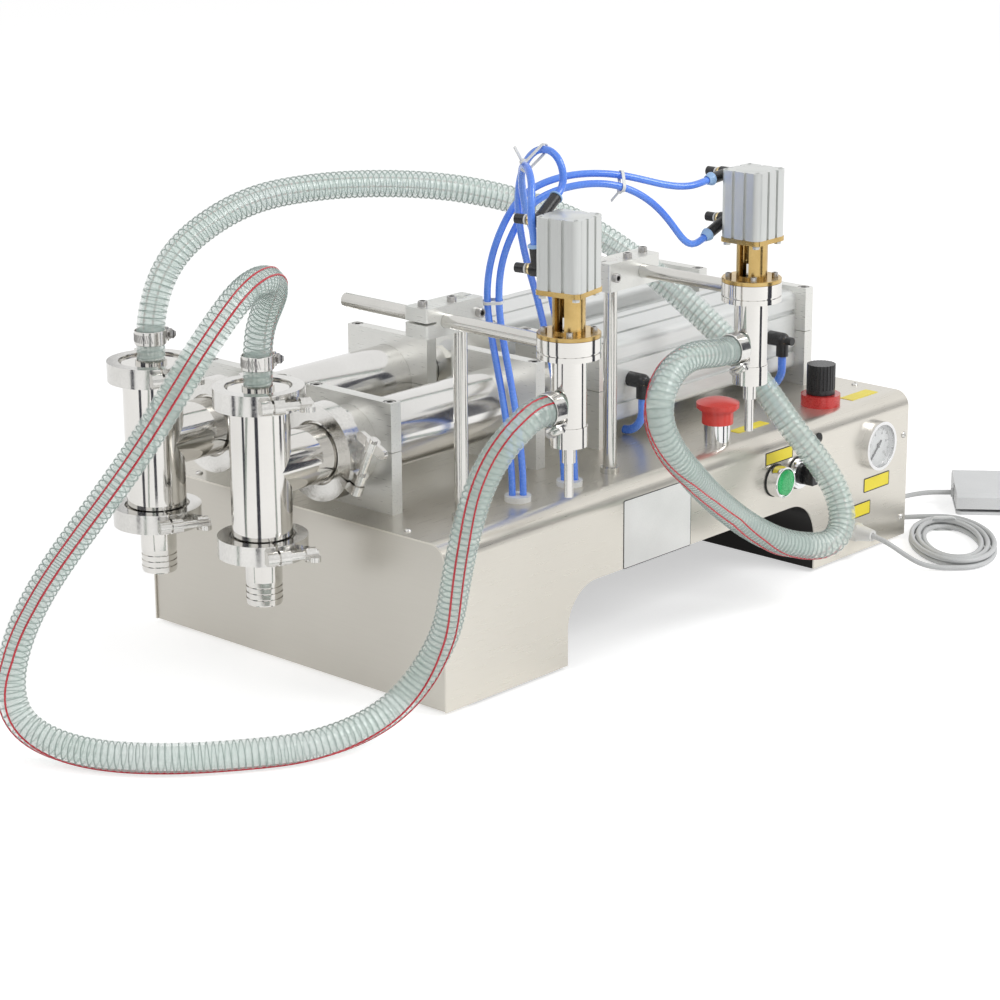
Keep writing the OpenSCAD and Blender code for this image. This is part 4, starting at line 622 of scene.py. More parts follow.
def air_tube(name, route):
    """A blue tube from the deck to a small cylinder."""
    line = smooth_line(route, 3 * MM)
    sides, tops = across_line(line)
    back = np.arange(len(line) - 1, -1, -1)
    outer = np.full((len(line), TUBE_STEPS), TUBE_R)
    tube = pipe(name + "_blue", line, sides, tops, outer, TUBE_BORE_R, back, TUBE_STEPS, blue_tubing)
    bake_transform(tube)
    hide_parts(name)
    tube_lines[name] = line
    return tube


air_tubes = {}
for side in ("left", "right"):
    for port in ("top", "low"):
        name = "tube_" + side + "_" + port
        air_tubes[name] = air_tube(name, ROUTES[name])
for name, tube in air_tubes.items():
    print(name, round(length_of(tube_lines[name]), 3), "m")

# %% [markdown]
# Small parts are drawn in millimetres and placed when they are finished. One helper turns a drawing into a
# piece: it scales and moves it, smooths it apart from its sharp edges, and names its body and its slot.

# %% Placing and drawing small parts
SHARP_FROM = 35


def place_piece(name, bm, matrix, made_of, body=None, smooth=True):
    """Turns a finished bmesh in millimetres into a piece in the row frame."""
    bmesh.ops.scale(bm, vec=(MM, MM, MM), verts=bm.verts)
    bmesh.ops.transform(bm, matrix=matrix, verts=bm.verts)
    if matrix.determinant() < 0:
        bmesh.ops.reverse_faces(bm, faces=bm.faces)
    mesh = bpy.data.meshes.new(name)
    bm.to_mesh(mesh)
    bm.free()
    if smooth:
        mesh.shade_smooth()
        mesh.set_sharp_from_angle(angle=math.radians(SHARP_FROM))
    for one in made_of if isinstance(made_of, (list, tuple)) else [made_of]:
        mesh.materials.append(one)
    made = add_object(name, mesh)
    if body:
        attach(made, body)
    return made


def facing(z_way, x_way, place):
    """The matrix that turns local z and x to the given ways and moves the origin to a place."""
    z_axis = Vector(z_way).normalized()
    x_axis = Vector(x_way)
    x_axis = (x_axis - z_axis * x_axis.dot(z_axis)).normalized()
    y_axis = z_axis.cross(x_axis)
    made = Matrix((x_axis, y_axis, z_axis)).transposed().to_4x4()
    made.translation = Vector(place)
    return made


def new_verts(made):
    """The vertices that an extrusion made."""
    return [one for one in made["geom"] if isinstance(one, bmesh.types.BMVert)]


def round_off(bm, geom, offset, segments=2, affect="EDGES"):
    """Rounds edges or corners."""
    bmesh.ops.bevel(bm, geom=geom, offset=offset, segments=segments, affect=affect, profile=0.5, material=-1)


def add_block(bm, size, centre, edge=0.0, slot=0):
    """A box with rounded edges, in millimetres."""
    verts = bmesh.ops.create_cube(bm, size=1.0)["verts"]
    bmesh.ops.scale(bm, vec=size, verts=verts)
    bmesh.ops.translate(bm, vec=centre, verts=verts)
    for face in {f for v in verts for f in v.link_faces}:
        face.material_index = slot
    if edge:
        round_off(bm, list({e for v in verts for e in v.link_edges}), edge)


print("edges stay sharp from", SHARP_FROM, "degrees")

# %% [markdown]
# Nylon ties hold the tubes together in pairs. A tie is a flat strap: a circle whose two halves are moved
# apart to go round both tubes, drawn out to the strap's width and given a thickness. Its head is a small
# block, and its tail stands out because nobody cut it off.

# %% Cable ties
TIE_W = 2.6
TIE_THICK = 0.9


def add_strap(bm, radius, apart, width):
    """A flat strap round two cords whose middles stand apart, in millimetres."""
    bmesh.ops.create_circle(bm, segments=32, radius=radius)
    for vert in bm.verts:
        vert.co.x += apart / 2 * (1 if vert.co.x > 0 else -1)
    drawn = bmesh.ops.extrude_edge_only(bm, edges=bm.edges[:])
    bmesh.ops.translate(bm, vec=(0, 0, width), verts=new_verts(drawn))
    bmesh.ops.solidify(bm, geom=bm.faces[:], thickness=-TIE_THICK)


def cable_tie(name, first, second, near, tail_way, bend):
    """A tie round two lines of points where they pass a place. The argument bend, a head's name, is not used.
    """
    near = np.array(near)
    spot = int(np.argmin(np.linalg.norm(first - near, axis=1)))
    a = first[spot]
    b = second[int(np.argmin(np.linalg.norm(second - a, axis=1)))]
    way = first[min(spot + 1, len(first) - 1)] - first[spot - 1]
    apart = float(np.linalg.norm(b - a)) / MM
    bm = bmesh.new()
    radius = TUBE_R / MM
    half = TIE_W / 2
    add_strap(bm, radius + 0.35, apart, TIE_W)
    add_block(bm, (4.6, 4.0, 3.6), (apart / 2, -radius - 2.2, half), 0.5)
    add_block(bm, (2.4, 15.0, TIE_THICK), (apart / 2 + 0.4, -radius - 11.0, half), 0.2)
    bmesh.ops.recalc_face_normals(bm, faces=bm.faces)
    matrix = facing(way, b - a, (a + b) / 2 - half * MM * way / np.linalg.norm(way))
    if (matrix.to_3x3() @ Vector((0, -1, 0))).dot(Vector(tail_way)) < 0:
        matrix = facing(-Vector(way), b - a, (a + b) / 2 + half * MM * way / np.linalg.norm(way))
    tie = place_piece(name, bm, matrix, tie_white)
    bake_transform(tie)
    print(name, "holds tubes", round(apart, 1), "mm apart")
    return tie


right_pair = (tube_lines["tube_right_top"], tube_lines["tube_right_low"])
left_pair = (tube_lines["tube_left_top"], tube_lines["tube_left_low"])
tie_low = cable_tie("tie_right_low", *right_pair, at(-236, -147, 330), (1, -0.4, 0), "head_right")
tie_high = cable_tie("tie_right_high", *right_pair, at(-150, -218, 434), (0, 0, -1), "head_right")
tie_left = cable_tie("tie_left", *left_pair, at(-262, -232, 472), (0, -0.3, 1), "head_left")

# %% [markdown]
# The grey cable leaves a white gland on the front, lies on the table beside the cabinet as a hank of
# five and a half flat loops under a tie, and goes on to the foot switch. Its loops get smaller towards
# the middle of the hank and its second half lies on the first, so no two turns touch. It is one cord
# from end to end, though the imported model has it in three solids.

# %% Cable
CABLE_R = 2.5 * MM
HANK_YAW = math.radians(42.5)
LOOPS = 5.5
LOOP_STEP = 6.4
LAYER_H = 5.6


def hank_points():
    """The loops of the hank, from outside in and back out one layer up."""
    points = []
    for i in range(int(LOOPS * 24) + 1):
        t = i / 24
        turn = math.radians(180 + 360 * t)
        smaller = min(t, LOOPS - t) * LOOP_STEP
        lift = LAYER_H * min(1, max(0, (t - LOOPS / 2) / 0.5 + 0.5))
        x = (74 - smaller) * math.cos(turn)
        y = (43 - smaller) * math.sin(turn)
        across = x * math.cos(HANK_YAW) - y * math.sin(HANK_YAW)
        along = x * math.sin(HANK_YAW) + y * math.cos(HANK_YAW)
        points.append(tuple(at(332 + across, -236 + along, 3 + lift)))
    return points


cable_line = smooth_line([*ROUTES["cable_lead"][:-1], *hank_points(), *ROUTES["cable_tail"][1:]], 2.5 * MM)
cable = string("cable_grey", cable_line, CABLE_R, 12, cable_grey)
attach(cable, "machine")
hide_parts("cable_lead", "cable_hank", "cable_tail")
print("cable", round(length_of(cable_line), 2), "m")

# %% [markdown]
# The small metal parts start here. Most are made of three things: a round or many-sided bar, a profile
# spun about its axis, and a thin block turned to its place in a ring. A part that stands at a slant is
# drawn upright in a mesh of its own and then added to the rest.

# %% Bars, turned parts and strokes
def add_part(bm, part, matrix):
    """Turns a finished part, in millimetres, and adds it to another."""
    bmesh.ops.transform(part, matrix=matrix, verts=part.verts)
    scratch = bpy.data.meshes.new("scratch")
    part.to_mesh(scratch)
    part.free()
    bm.from_mesh(scratch)
    bpy.data.meshes.remove(scratch)


def add_bar(bm, radius, length, centre, axis="Z", sides=24, edge=0.0, slot=0):
    """A round or many-sided bar with rounded rims, in millimetres, centred on a place."""
    verts = bmesh.ops.create_cone(bm, cap_ends=True, segments=sides, radius1=radius, radius2=radius,
                                  depth=length)["verts"]
    if axis == "Y":
        bmesh.ops.rotate(bm, cent=(0, 0, 0), matrix=Matrix.Rotation(-math.pi / 2, 3, "X"), verts=verts)
    bmesh.ops.translate(bm, vec=centre, verts=verts)
    faces = {f for v in verts for f in v.link_faces}
    for face in faces:
        face.material_index = slot
    if edge:
        round_off(bm, list({e for f in faces if len(f.verts) > 4 for e in f.edges}), edge)


def add_turned(bm, profile, steps):
    """A turned shape about local z from (radius, height) points in millimetres."""
    before = set(bm.faces)
    verts = [bm.verts.new((r, 0, z)) for r, z in profile]
    edges = [bm.edges.new(pair) for pair in zip(verts, verts[1:])]
    bmesh.ops.spin(bm, geom=verts + edges, cent=(0, 0, 0), axis=(0, 0, 1), angle=2 * math.pi, steps=steps,
                   use_merge=True)
    bmesh.ops.remove_doubles(bm, verts=bm.verts, dist=1e-4)
    bmesh.ops.recalc_face_normals(bm, faces=[f for f in bm.faces if f not in before])


def add_turned_at(bm, profile, steps, matrix):
    """The same, moved to its own place before it is added."""
    part = bmesh.new()
    add_turned(part, profile, steps)
    add_part(bm, part, matrix)


def add_stroke(bm, size, place, turn, tilt=0.0, slot=0):
    """A thin block at a place on local x, tilted about x first and turned about z last."""
    verts = bmesh.ops.create_cube(bm, size=1.0)["verts"]
    bmesh.ops.scale(bm, vec=size, verts=verts)
    bmesh.ops.rotate(bm, cent=(0, 0, 0), matrix=Matrix.Rotation(tilt, 3, "X"), verts=verts)
    bmesh.ops.translate(bm, vec=place, verts=verts)
    bmesh.ops.rotate(bm, cent=(0, 0, 0), matrix=Matrix.Rotation(turn, 3, "Z"), verts=verts)
    for face in {f for v in verts for f in v.link_faces}:
        face.material_index = slot


print("helpers for bars, turned parts and strokes ready")

# %% [markdown]
# A worm-drive clip squeezes each hose end onto its barb: a thin band, a housing that stands on it and a screw
# with a slotted hexagon head. The band is turned, and the slots that the screw runs in are strokes of darker
# steel on it, painted shade for the openings; the housing is a rounded block; the screw is a short six-sided
# bar, and the slot in its head is a thin black block, painted shade as well.

# %% Hose clips
def hose_clip(name, centre, axis, housing_way, body):
    """A worm-drive clip round a hose end."""
    bm = bmesh.new()
    inner = 12.75
    add_turned(bm, [(inner, -5.6), (inner, 5.6), (inner + 0.5, 6.0), (inner + 0.9, 5.6), (inner + 0.9, -5.6),
                    (inner + 0.5, -6.0), (inner, -5.6)], 48)
    # Painted shade: the band's slots are strokes of darker steel, standing for the shade in the openings.
    for i in range(14):
        turn = math.radians(-56 + i * 8) + math.pi
        add_stroke(bm, (0.35, 0.8, 7.0), (inner + 1.0, 0, 0), turn, math.radians(12), 1)
    add_block(bm, (3.2, 13.0, 12.6), (inner + 2.4, 0, 0), 0.7)
    add_bar(bm, 3.6, 12.6, (inner + 4.6, 0, 0), "Y", 24, 0.6)
    add_bar(bm, 3.9, 4.4, (inner + 4.6, -8.4, 0), "Y", 6, 0.5, 1)
    add_bar(bm, 4.6, 1.2, (inner + 4.6, -6.4, 0), "Y", 24, 0.3, 1)
    # Painted shade: the slot in the screw head is a thin black block.
    add_block(bm, (1.0, 0.5, 6.6), (inner + 4.6, -10.5, 0), slot=2)
    place_piece(name, bm, facing(axis, housing_way, centre), (clamp_steel, screw_steel, black_plastic), body)


hose_clip("clip_valve_front", at(-398, ROW_YS[0], 293), (0, 0, 1), (1, 0.1, 0), "machine")
hose_clip("clip_valve_back", at(-398, ROW_YS[1], 293), (0, 0, 1), (1, 0.1, 0), "machine")
hose_clip("clip_nozzle_left", at(-318, -286, 280), (-1, 0, 0), (0, -0.45, -0.9), "head_left")
hose_clip("clip_nozzle_right", at(-68, -273, 280), (-1, 0, 0), (0, -0.45, -0.9), "head_right")
print("four hose clips")

# %% [markdown]
# Socket screws hold the upper halves of the bracket plates, clamp the arms and close the small cylinders. One
# function makes such a head: a short bar whose rim is eased by an inset, and a six-sided recess that is inset
# into its top face and pushed in. The recess's bottom gets the black finish as painted shade, for the shade
# that falls in it.

# %% Socket screws
TO_FRONT = Matrix.Rotation(math.pi / 2, 4, "X")


def add_socket_head(bm, radius, height, place, turned=Matrix.Identity(4)):
    """A socket head screw that stands on a place, in millimetres, upright unless it is turned."""
    local = bmesh.new()
    bmesh.ops.create_cone(local, cap_ends=True, segments=24, radius1=radius, radius2=radius, depth=height)
    bmesh.ops.translate(local, vec=(0, 0, height / 2), verts=local.verts)
    top = max(local.faces, key=lambda f: f.calc_center_median().z)
    bmesh.ops.inset_region(local, faces=[top], thickness=radius * 0.10, depth=0)
    bmesh.ops.translate(local, vec=(0, 0, radius * 0.08), verts=top.verts)
    bmesh.ops.inset_region(local, faces=[top], thickness=radius * 0.30, depth=0)
    hexagon = [radius * 0.55 / max(0.87, math.cos(math.radians((i * 15) % 60 - 30))) for i in range(24)]
    for vert in top.verts:
        turn = math.degrees(math.atan2(vert.co.y, vert.co.x)) % 360
        far = hexagon[int(round(turn / 15)) % 24]
        vert.co.x = far * math.cos(math.radians(turn))
        vert.co.y = far * math.sin(math.radians(turn))
    socket = bmesh.ops.extrude_discrete_faces(local, faces=[top])
    socket_shade_face = socket["faces"][0]
    bmesh.ops.translate(local, vec=(0, 0, -height * 0.55), verts=socket_shade_face.verts)
    # Painted shade: the socket's bottom gets the black finish, for the shade in the recess.
    socket_shade_face.material_index = 1
    add_part(bm, local, Matrix.Translation(place) @ turned)


CAB = Matrix.Translation((-X_MID * MM, -Y_MID * MM, 0))
BRACKET_XS = (-290, -108, -22, 288)
BRACKET_H = 97.5
SUNK = 7.0
bm = bmesh.new()
for y in ROW_YS:
    for x in BRACKET_XS:
        for side in (-1, 1):
            add_socket_head(bm, 4.9, 6.2, (x, y + side * 44, DECK_Z + BRACKET_H - SUNK))
place_piece("bracket_screws", bm, CAB, (screw_steel, black_plastic), "machine")
print("16 bracket screws")

# %% [markdown]
# Each arm block is split at both ends and pinched by screws. Two of them show their heads on top of the
# block and one on its front face.

# %% Screws of the arm blocks
HEADS = {"left": (-295.5, -286.0), "right": (-45.5, -273.0)}
POSTS_X = {"left": -266.0, "right": -74.5}
ARM_Y = -141.5
ROD_Z = 327.0
DISC_TOP_Z = ROD_Z + 16.5 / 2
FLANGE_H = 3.5
LANTERN_TUBE_H = 31
LANTERN_PLATE_H = 4
for side, (head_x, head_y) in HEADS.items():
    bm = bmesh.new()
    way = 1 if POSTS_X[side] > head_x else -1
    add_socket_head(bm, 4.0, 4.2, (head_x - way * 14.5, ARM_Y, ROD_Z + 12.5))
    add_socket_head(bm, 4.0, 4.2, (head_x + way * 13.5, ARM_Y - 6.0, ROD_Z + 12.5))
    add_socket_head(bm, 4.0, 4.2, (head_x - way * 23 + way * 61.5, ARM_Y - 12.5, ROD_Z), TO_FRONT)
    place_piece("arm_screws_" + side, bm, CAB, (screw_steel, black_plastic), "head_" + side)
print("arm screws ready")

# %% [markdown]
# The small air cylinders are closed by a thin pressed cap with a raised round middle, and four screws
# run down their corners. Under the brass plate the same screws end in nuts. The fittings on their side
# have a gilt ring and a white one on their stem, and each tube goes in through a pale blue collar.

# %% Caps, rings and collars of the heads
CYL_LOW_Z = DISC_TOP_Z + FLANGE_H + LANTERN_TUBE_H + LANTERN_PLATE_H
CYL_H = 57.0
PORT_END = 20 + 14
YAWS = {"left": 10.7, "right": 1.0}
PORTS = {
    "left": ((11, (-4.1, 0, 16.4), 20), (50, (28.7, 0, 14.6), 30)),
    "right": ((11, (-26.6, 0, -9.8), 26), (50, (-20.9, 0, -1.5), 21)),
}
for side, (head_x, head_y) in HEADS.items():
    turn = CAB @ Matrix.Translation((head_x * MM, head_y * MM, CYL_LOW_Z * MM)) @ Matrix.Rotation(
        math.radians(YAWS[side]), 4, "Z")
    bm = bmesh.new()
    add_turned(bm, [(0, CYL_H - 0.4), (0, CYL_H + 0.5), (11.5, CYL_H + 0.6), (12.6, CYL_H + 0.3),
                    (14.6, CYL_H + 0.3), (15.2, CYL_H), (15.2, CYL_H - 0.4), (0, CYL_H - 0.4)], 48)
    for sx in (-1, 1):
        for sy in (-1, 1):
            add_socket_head(bm, 2.0, 0.5, (sx * 16.0, sy * 16.0, CYL_H - 0.05))
            add_bar(bm, 3.2, 3.0, (sx * 15.2, sy * 15.2, -5.5), "Z", 6, 0.3)
    place_piece("cylinder_cap_" + side, bm, turn, (head_aluminium, black_plastic), "head_" + side)
    bm = bmesh.new()
    for z, way, length in PORTS[side]:
        add_bar(bm, 4.7, 2.2, (0, PORT_END + 1.4, z), "Y", 24, 0.4)
        add_bar(bm, 4.3, 1.6, (0, PORT_END + 4.6, z), "Y", 24, 0.3, 1)
    place_piece("fitting_rings_" + side, bm, turn, (ring_gold, white_plastic), "head_" + side)
    bm = bmesh.new()
    out = 1.0 if side == "left" else 5.0
    collar = [(3.15, -0.3), (3.15, 1.4 + out), (3.5, 1.7 + out), (4.0, 1.2 + out), (5.6, 1.4), (5.7, 0.5),
              (5.4, 0.05), (4.0, 0.05), (4.0, -0.3), (3.15, -0.3)]
    for z, way, length in PORTS[side]:
        tilt = Vector((0, 0, 1)).rotation_difference(Vector(way).normalized()).to_matrix().to_4x4()
        add_turned_at(bm, [(r, length + h) for r, h in collar], 28, Matrix.Translation((0, 28, z)) @ tilt)
    place_piece("release_collars_" + side, bm, turn, collar_blue, "head_" + side)
print("head caps, rings and collars ready")

# %% [markdown]
# The brass lantern joins the head's disc to its air cylinder: a flange, a tube with a window on two
# sides, and a square plate. The windows face the way they do in the photograph, which the solid turns
# to the side. A tube is spun with a ring of points at each end of the windows. The faces between them
# are taken out there, and the open rims of the inner and outer wall are bridged.

# %% Lanterns with open windows
WINDOW_Z = (5.5, 32.5)
for side, (head_x, head_y) in HEADS.items():
    bm = bmesh.new()
    inside = [(9.5, z) for z in (3.3, *WINDOW_Z, 34.7)]
    outside = [(13.25, z) for _, z in inside]
    add_turned(bm, [*inside, *outside[::-1], inside[0]], 72)
    for middle in (185, 5):
        gone = []
        for face in bm.faces:
            spot = face.calc_center_median()
            off = (math.degrees(math.atan2(spot.y, spot.x)) - middle + 180) % 360 - 180
            if WINDOW_Z[0] < spot.z < WINDOW_Z[1] and abs(off) < 20:
                gone.append(face)
        bmesh.ops.delete(bm, geom=gone, context="FACES")
        bmesh.ops.bridge_loops(bm, edges=[e for e in bm.edges if e.is_boundary])
    add_turned(bm, [(4.05, 0), (4.05, 3.5), (24.9, 3.5), (25.5, 3.0), (25.5, 0.4), (25.1, 0), (4.05, 0)], 72)
    plate = bmesh.new()
    bmesh.ops.create_grid(plate, x_segments=1, y_segments=1, size=0.5)
    bmesh.ops.scale(plate, vec=(40.0, 40.0, 1), verts=plate.verts)
    round_off(plate, plate.verts[:], 4, 6, "VERTICES")
    bmesh.ops.delete(plate, geom=plate.faces[:], context="FACES_ONLY")
    bmesh.ops.create_circle(plate, segments=32, radius=4.05)
    bmesh.ops.triangle_fill(plate, use_beauty=True, edges=plate.edges[:])
    raised = bmesh.ops.extrude_face_region(plate, geom=plate.faces[:])
    bmesh.ops.translate(plate, vec=(0, 0, LANTERN_PLATE_H), verts=new_verts(raised))
    bmesh.ops.recalc_face_normals(plate, faces=plate.faces)
    add_part(bm, plate, Matrix.Translation((0, 0, FLANGE_H + LANTERN_TUBE_H)) @ Matrix.Rotation(
        math.radians(YAWS[side]), 4, "Z"))
    spot = CAB @ Matrix.Translation((head_x * MM, head_y * MM, DISC_TOP_Z * MM))
    lantern = place_piece("lantern_open_" + side, bm, spot, brass, "head_" + side)
    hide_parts("lantern_" + side)
print("lanterns opened")

# %% [markdown]
# The lantern's lower flange and the sheet metal have a few more screws, and the deck edge shows the screws
# of the end panels. A dome-headed screw is turned from an arc, and a dimple stands for its small cross cut.

# %% Screws of the lanterns and of the sheet
for side, (head_x, head_y) in HEADS.items():
    bm = bmesh.new()
    for i in range(4):
        turn = math.radians(-47.6 + i * 90)
        add_socket_head(bm, 2.7, 3.6, (head_x + 19.6 * math.cos(turn), head_y + 19.6 * math.sin(turn),
                                       DISC_TOP_Z + FLANGE_H))
    place_piece("lantern_screws_" + side, bm, CAB, (screw_steel, black_plastic), "head_" + side)

DOME = [(3.4, 0), (3.3, 0.7), (2.7, 1.4), (1.7, 1.9), (1.0, 2.0), (0.9, 1.2), (0, 1.1), (0, 0), (3.4, 0)]
bm = bmesh.new()
for x, y in ((-318, -128.7), (-318, 128.7), (326 - 8, -125.6), (326 - 8, 125.6)):
    add_turned_at(bm, DOME, 20, Matrix.Translation((x, y, DECK_Z - 0.05)))
for x, z in ((322.8, 106), (322.8, 22)):
    add_turned_at(bm, DOME, 20, Matrix.Translation((x, FRONT_Y + 0.05, z)) @ TO_FRONT)
place_piece("sheet_screws", bm, CAB, clamp_steel, "machine")
print("lantern and sheet screws ready")

# %% [markdown]
# Plates mark the controls. They are left bare, each a thin sheet with rounded corners and most with a dark
# printed rim: the rim is the face that inset_region leaves round the edge.

# %% Bare plates
PLATE_H = 0.35


def bare_plate(name, centre, width, height, way, up_way, face, rim, border=1.0):
    """A thin plate with a rim of another colour, standing on a surface."""
    bm = bmesh.new()
    bmesh.ops.create_grid(bm, x_segments=1, y_segments=1, size=0.5)
    bmesh.ops.scale(bm, vec=(width, height, 1), verts=bm.verts)
    round_off(bm, bm.verts[:], 1.2, 4, "VERTICES")
    raised = bmesh.ops.extrude_face_region(bm, geom=bm.faces[:])
    bmesh.ops.translate(bm, vec=(0, 0, PLATE_H), verts=new_verts(raised))
    bmesh.ops.recalc_face_normals(bm, faces=bm.faces)
    top = max(bm.faces, key=lambda f: f.calc_center_median().z)
    for one in bm.faces:
        one.material_index = 1
    bmesh.ops.inset_region(bm, faces=[top], thickness=border, depth=0)
    top.material_index = 0
    x_axis = Vector(up_way).cross(Vector(way))
    place_piece(name, bm, facing(way, x_axis, at(*centre)), (face, rim), "machine")


FRONT = (0, -1, 0)
UP = (0, 0, 1)
bare_plate("plate_name", ((-102.7 - 9) / 2, FRONT_Y, (72.5 + 135.3) / 2), 93.7, 62.8, FRONT, UP, label_white,
           black_plastic, 0.7)
for name, x, z, width, height in (
    ("plate_start", (100.6 + 142) / 2, 128.3, 41.4, 12.6),
    ("plate_gauge", (258.5 + 300.3) / 2, 67.9, 41.8, 14.3),
    ("plate_cable", 254, 45, 32, 14),
):
    bare_plate(name, (x, FRONT_Y, z), width, height, FRONT, UP, label_yellow, black_plastic)
bare_plate("plate_stop", (124.5, -144, DECK_Z), 47, 12, UP, (0, 1, 0), label_yellow, label_yellow)
bare_plate("plate_regulator", (287.5, -152.5, DECK_Z), 43, 15, UP, (0, 1, 0), label_yellow, label_yellow)
print("six bare plates")

# %% [markdown]
# The controls on the front: a rubber washer under each ring, a chrome collar that guards the start
# button, the button's broad green lens, a white pointer on the selector, and a plug in a spare hole.

# %% Washers, collar, lens, pointer and plug
START_X = 115.6
SELECTOR_X = 150
CONTROLS_Z = 105.8
WASHER = [(10.5, 0), (10.5, 1.6), (14.9, 1.6), (15.6, 1.1), (15.6, 0), (10.5, 0)]
PLUG = [(0, 0), (5.2, 0), (5.2, 0.8), (4.0, 1.8), (1.8, 2.3), (0, 2.4)]
bm = bmesh.new()
for x in (START_X, SELECTOR_X):
    add_turned_at(bm, WASHER, 40, Matrix.Translation((x, FRONT_Y, CONTROLS_Z)) @ TO_FRONT)
add_turned_at(bm, PLUG, 32, Matrix.Translation((182.3, FRONT_Y, 132.3)) @ TO_FRONT)
place_piece("front_washers", bm, CAB, black_rubber, "machine")
bm = bmesh.new()
add_block(bm, (1.6, 0.35, 9.0), (SELECTOR_X, -202.85, 111.5), 0.15)
place_piece("selector_mark", bm, CAB, white_plastic, "selector_knob")
bm = bmesh.new()
add_turned(bm, [(12.7, 4.6), (12.7, 12.4), (13.1, 12.9), (14.0, 12.9), (14.5, 12.3), (14.9, 6.6), (14.9, 4.6),
                (12.7, 4.6)], 56)
START = CAB @ Matrix.Translation((START_X * MM, FRONT_Y * MM, CONTROLS_Z * MM)) @ TO_FRONT
place_piece("start_collar", bm, START, chrome, "machine")
bm = bmesh.new()
add_turned(bm, [(0, 14.7), (6, 14.6), (10.4, 14.2), (11.7, 13.6), (12.1, 12.6), (12.1, 11.2), (10.3, 11.2),
                (10.3, 13.0), (0, 13.0), (0, 14.7)], 56)
place_piece("start_lens", bm, START, green_plastic, "start_button")
print("front controls ready")

# %% [markdown]
# The pressure gauge has a white dial with a scale from zero to ten over three quarters of a turn, and a
# glass that is held by the chrome case. Every stroke of the scale is a thin block, turned about the
# dial's middle; the numbers are text that is made a mesh.

# %% Gauge dial and glass
ZERO_AT = 225
FULL_TURN = 270
PRINT_Z = 0.19
GAUGE = CAB @ Matrix.Translation((276 * MM, -184.8 * MM, CONTROLS_Z * MM)) @ TO_FRONT
bm = bmesh.new()
add_turned(bm, [(0, 0.02), (0, 0.15), (20.6, 0.15), (20.8, 0.02), (0, 0.02)], 64)
place_piece("gauge_dial", bm, GAUGE, plate_white, "machine")
bm = bmesh.new()
for i in range(51):
    turn = math.radians(ZERO_AT - i * FULL_TURN / 50)
    long_one = i % 5 == 0
    length = 3.4 if long_one else 1.8
    add_stroke(bm, (length, 0.55 if long_one else 0.28, 0.06), (18.6 - length / 2, 0, PRINT_Z), turn)
place_piece("gauge_scale", bm, GAUGE, black_plastic, "machine")
for number in range(0, 11, 2):
    turn = math.radians(ZERO_AT - number * FULL_TURN / 10)
    writing = bpy.data.curves.new("number", "FONT")
    writing.body = str(number)
    writing.size = 4.2
    writing.align_x = "CENTER"
    writing.align_y = "CENTER"
    writing.extrude = 0.03
    writer = bpy.data.objects.new("number", writing)
    shape = bpy.data.meshes.new_from_object(writer)
    bm = bmesh.new()
    bm.from_mesh(shape)
    bpy.data.objects.remove(writer)
    bpy.data.meshes.remove(shape)
    bmesh.ops.remove_doubles(bm, verts=bm.verts, dist=1e-4)
    bmesh.ops.translate(bm, vec=(12.6 * math.cos(turn), 12.6 * math.sin(turn), PRINT_Z), verts=bm.verts)
    place_piece("gauge_number_" + str(number), bm, GAUGE, black_plastic, "machine",
                smooth=False)
bm = bmesh.new()
add_turned(bm, [(0, 3.3), (0, 4.5), (16, 4.3), (20.9, 3.6), (20.9, 3.3), (0, 3.3)], 64)
place_piece("gauge_glass", bm, GAUGE, clear_glass, "machine")
print("gauge ready")

# %% [markdown]
# The fittings on the air cylinders have a speed knob on a gilt stem. The stem shows as two rings, one
# round and one six-sided, so each is a short bar with rounded rims.

# %% Rings of the air cylinders' fittings
bm = bmesh.new()
for y in ROW_YS:
    for x in (30, 242):
        add_bar(bm, 4.6, 2.0, (x, y - 54.6, AXIS_Z), "Y", 24, 0.4)
        add_bar(bm, 5.2, 1.8, (x, y - 58.2, AXIS_Z), "Y", 6, 0.4)
place_piece("air_fitting_rings", bm, CAB, ring_gold, "machine")
print("air cylinder fittings ringed")

# %% [markdown]
# The foot switch has a short latch slot in its left end, above the cable. The slot is drawn as painted shade:
# a small black block set into the pedal's wall, so it moves with the pedal.

# %% The foot switch's latch slot
bm = bmesh.new()
# Painted shade: a black block in place of the shade inside the slot.
add_block(bm, (0.5, 8.0, 2.6), (-0.15, 39, 19.6), 0.2)
PEDAL = CAB @ Matrix.Translation((425 * MM, -180 * MM, 0)) @ Matrix.Rotation(math.radians(-52), 4, "Z")
place_piece("pedal_slot", bm, PEDAL, black_plastic, "pedal")
print("latch slot set in the pedal")

# %% [markdown]
# A nylon tie holds the hank of cable together at the side away from the operator. It is a strap round all
# the turns that lie side by side there, so it is a wide flat loop.

# %% The hank's tie
bm = bmesh.new()
add_strap(bm, 6.4, 14.0, 3.2)
add_block(bm, (5.0, 4.2, 4.4), (13.5, 5.6, 1.6), 0.5)
bmesh.ops.recalc_face_normals(bm, faces=bm.faces)
round_way = (math.cos(HANK_YAW), math.sin(HANK_YAW), 0)
in_way = (math.sin(HANK_YAW), -math.cos(HANK_YAW), 0)
tie = place_piece("tie_hank", bm, facing(round_way, in_way, at(371.5, -200.4, 6.9)), tie_white, "machine")
print("hank tied")

# %% [markdown]
# The machine is shown on a plain white floor that runs out into a white background. The floor catches a
# soft shadow and is lifted to white by a glow of its own. The camera and clear pieces see all of that
# glow and mirrors see three quarters of it. Little of it is left to light the machine from below.

# %% Floor
GLOSSY_SHARE = 0.75
FLOOR_GLOW = 0.43
FLOOR_LEAST = 0.12


def empty_tree(made):
    """Gives a material or a world a tree of its own, without any node yet."""
    made.use_nodes = True
    made.node_tree.nodes.clear()
    return made.node_tree


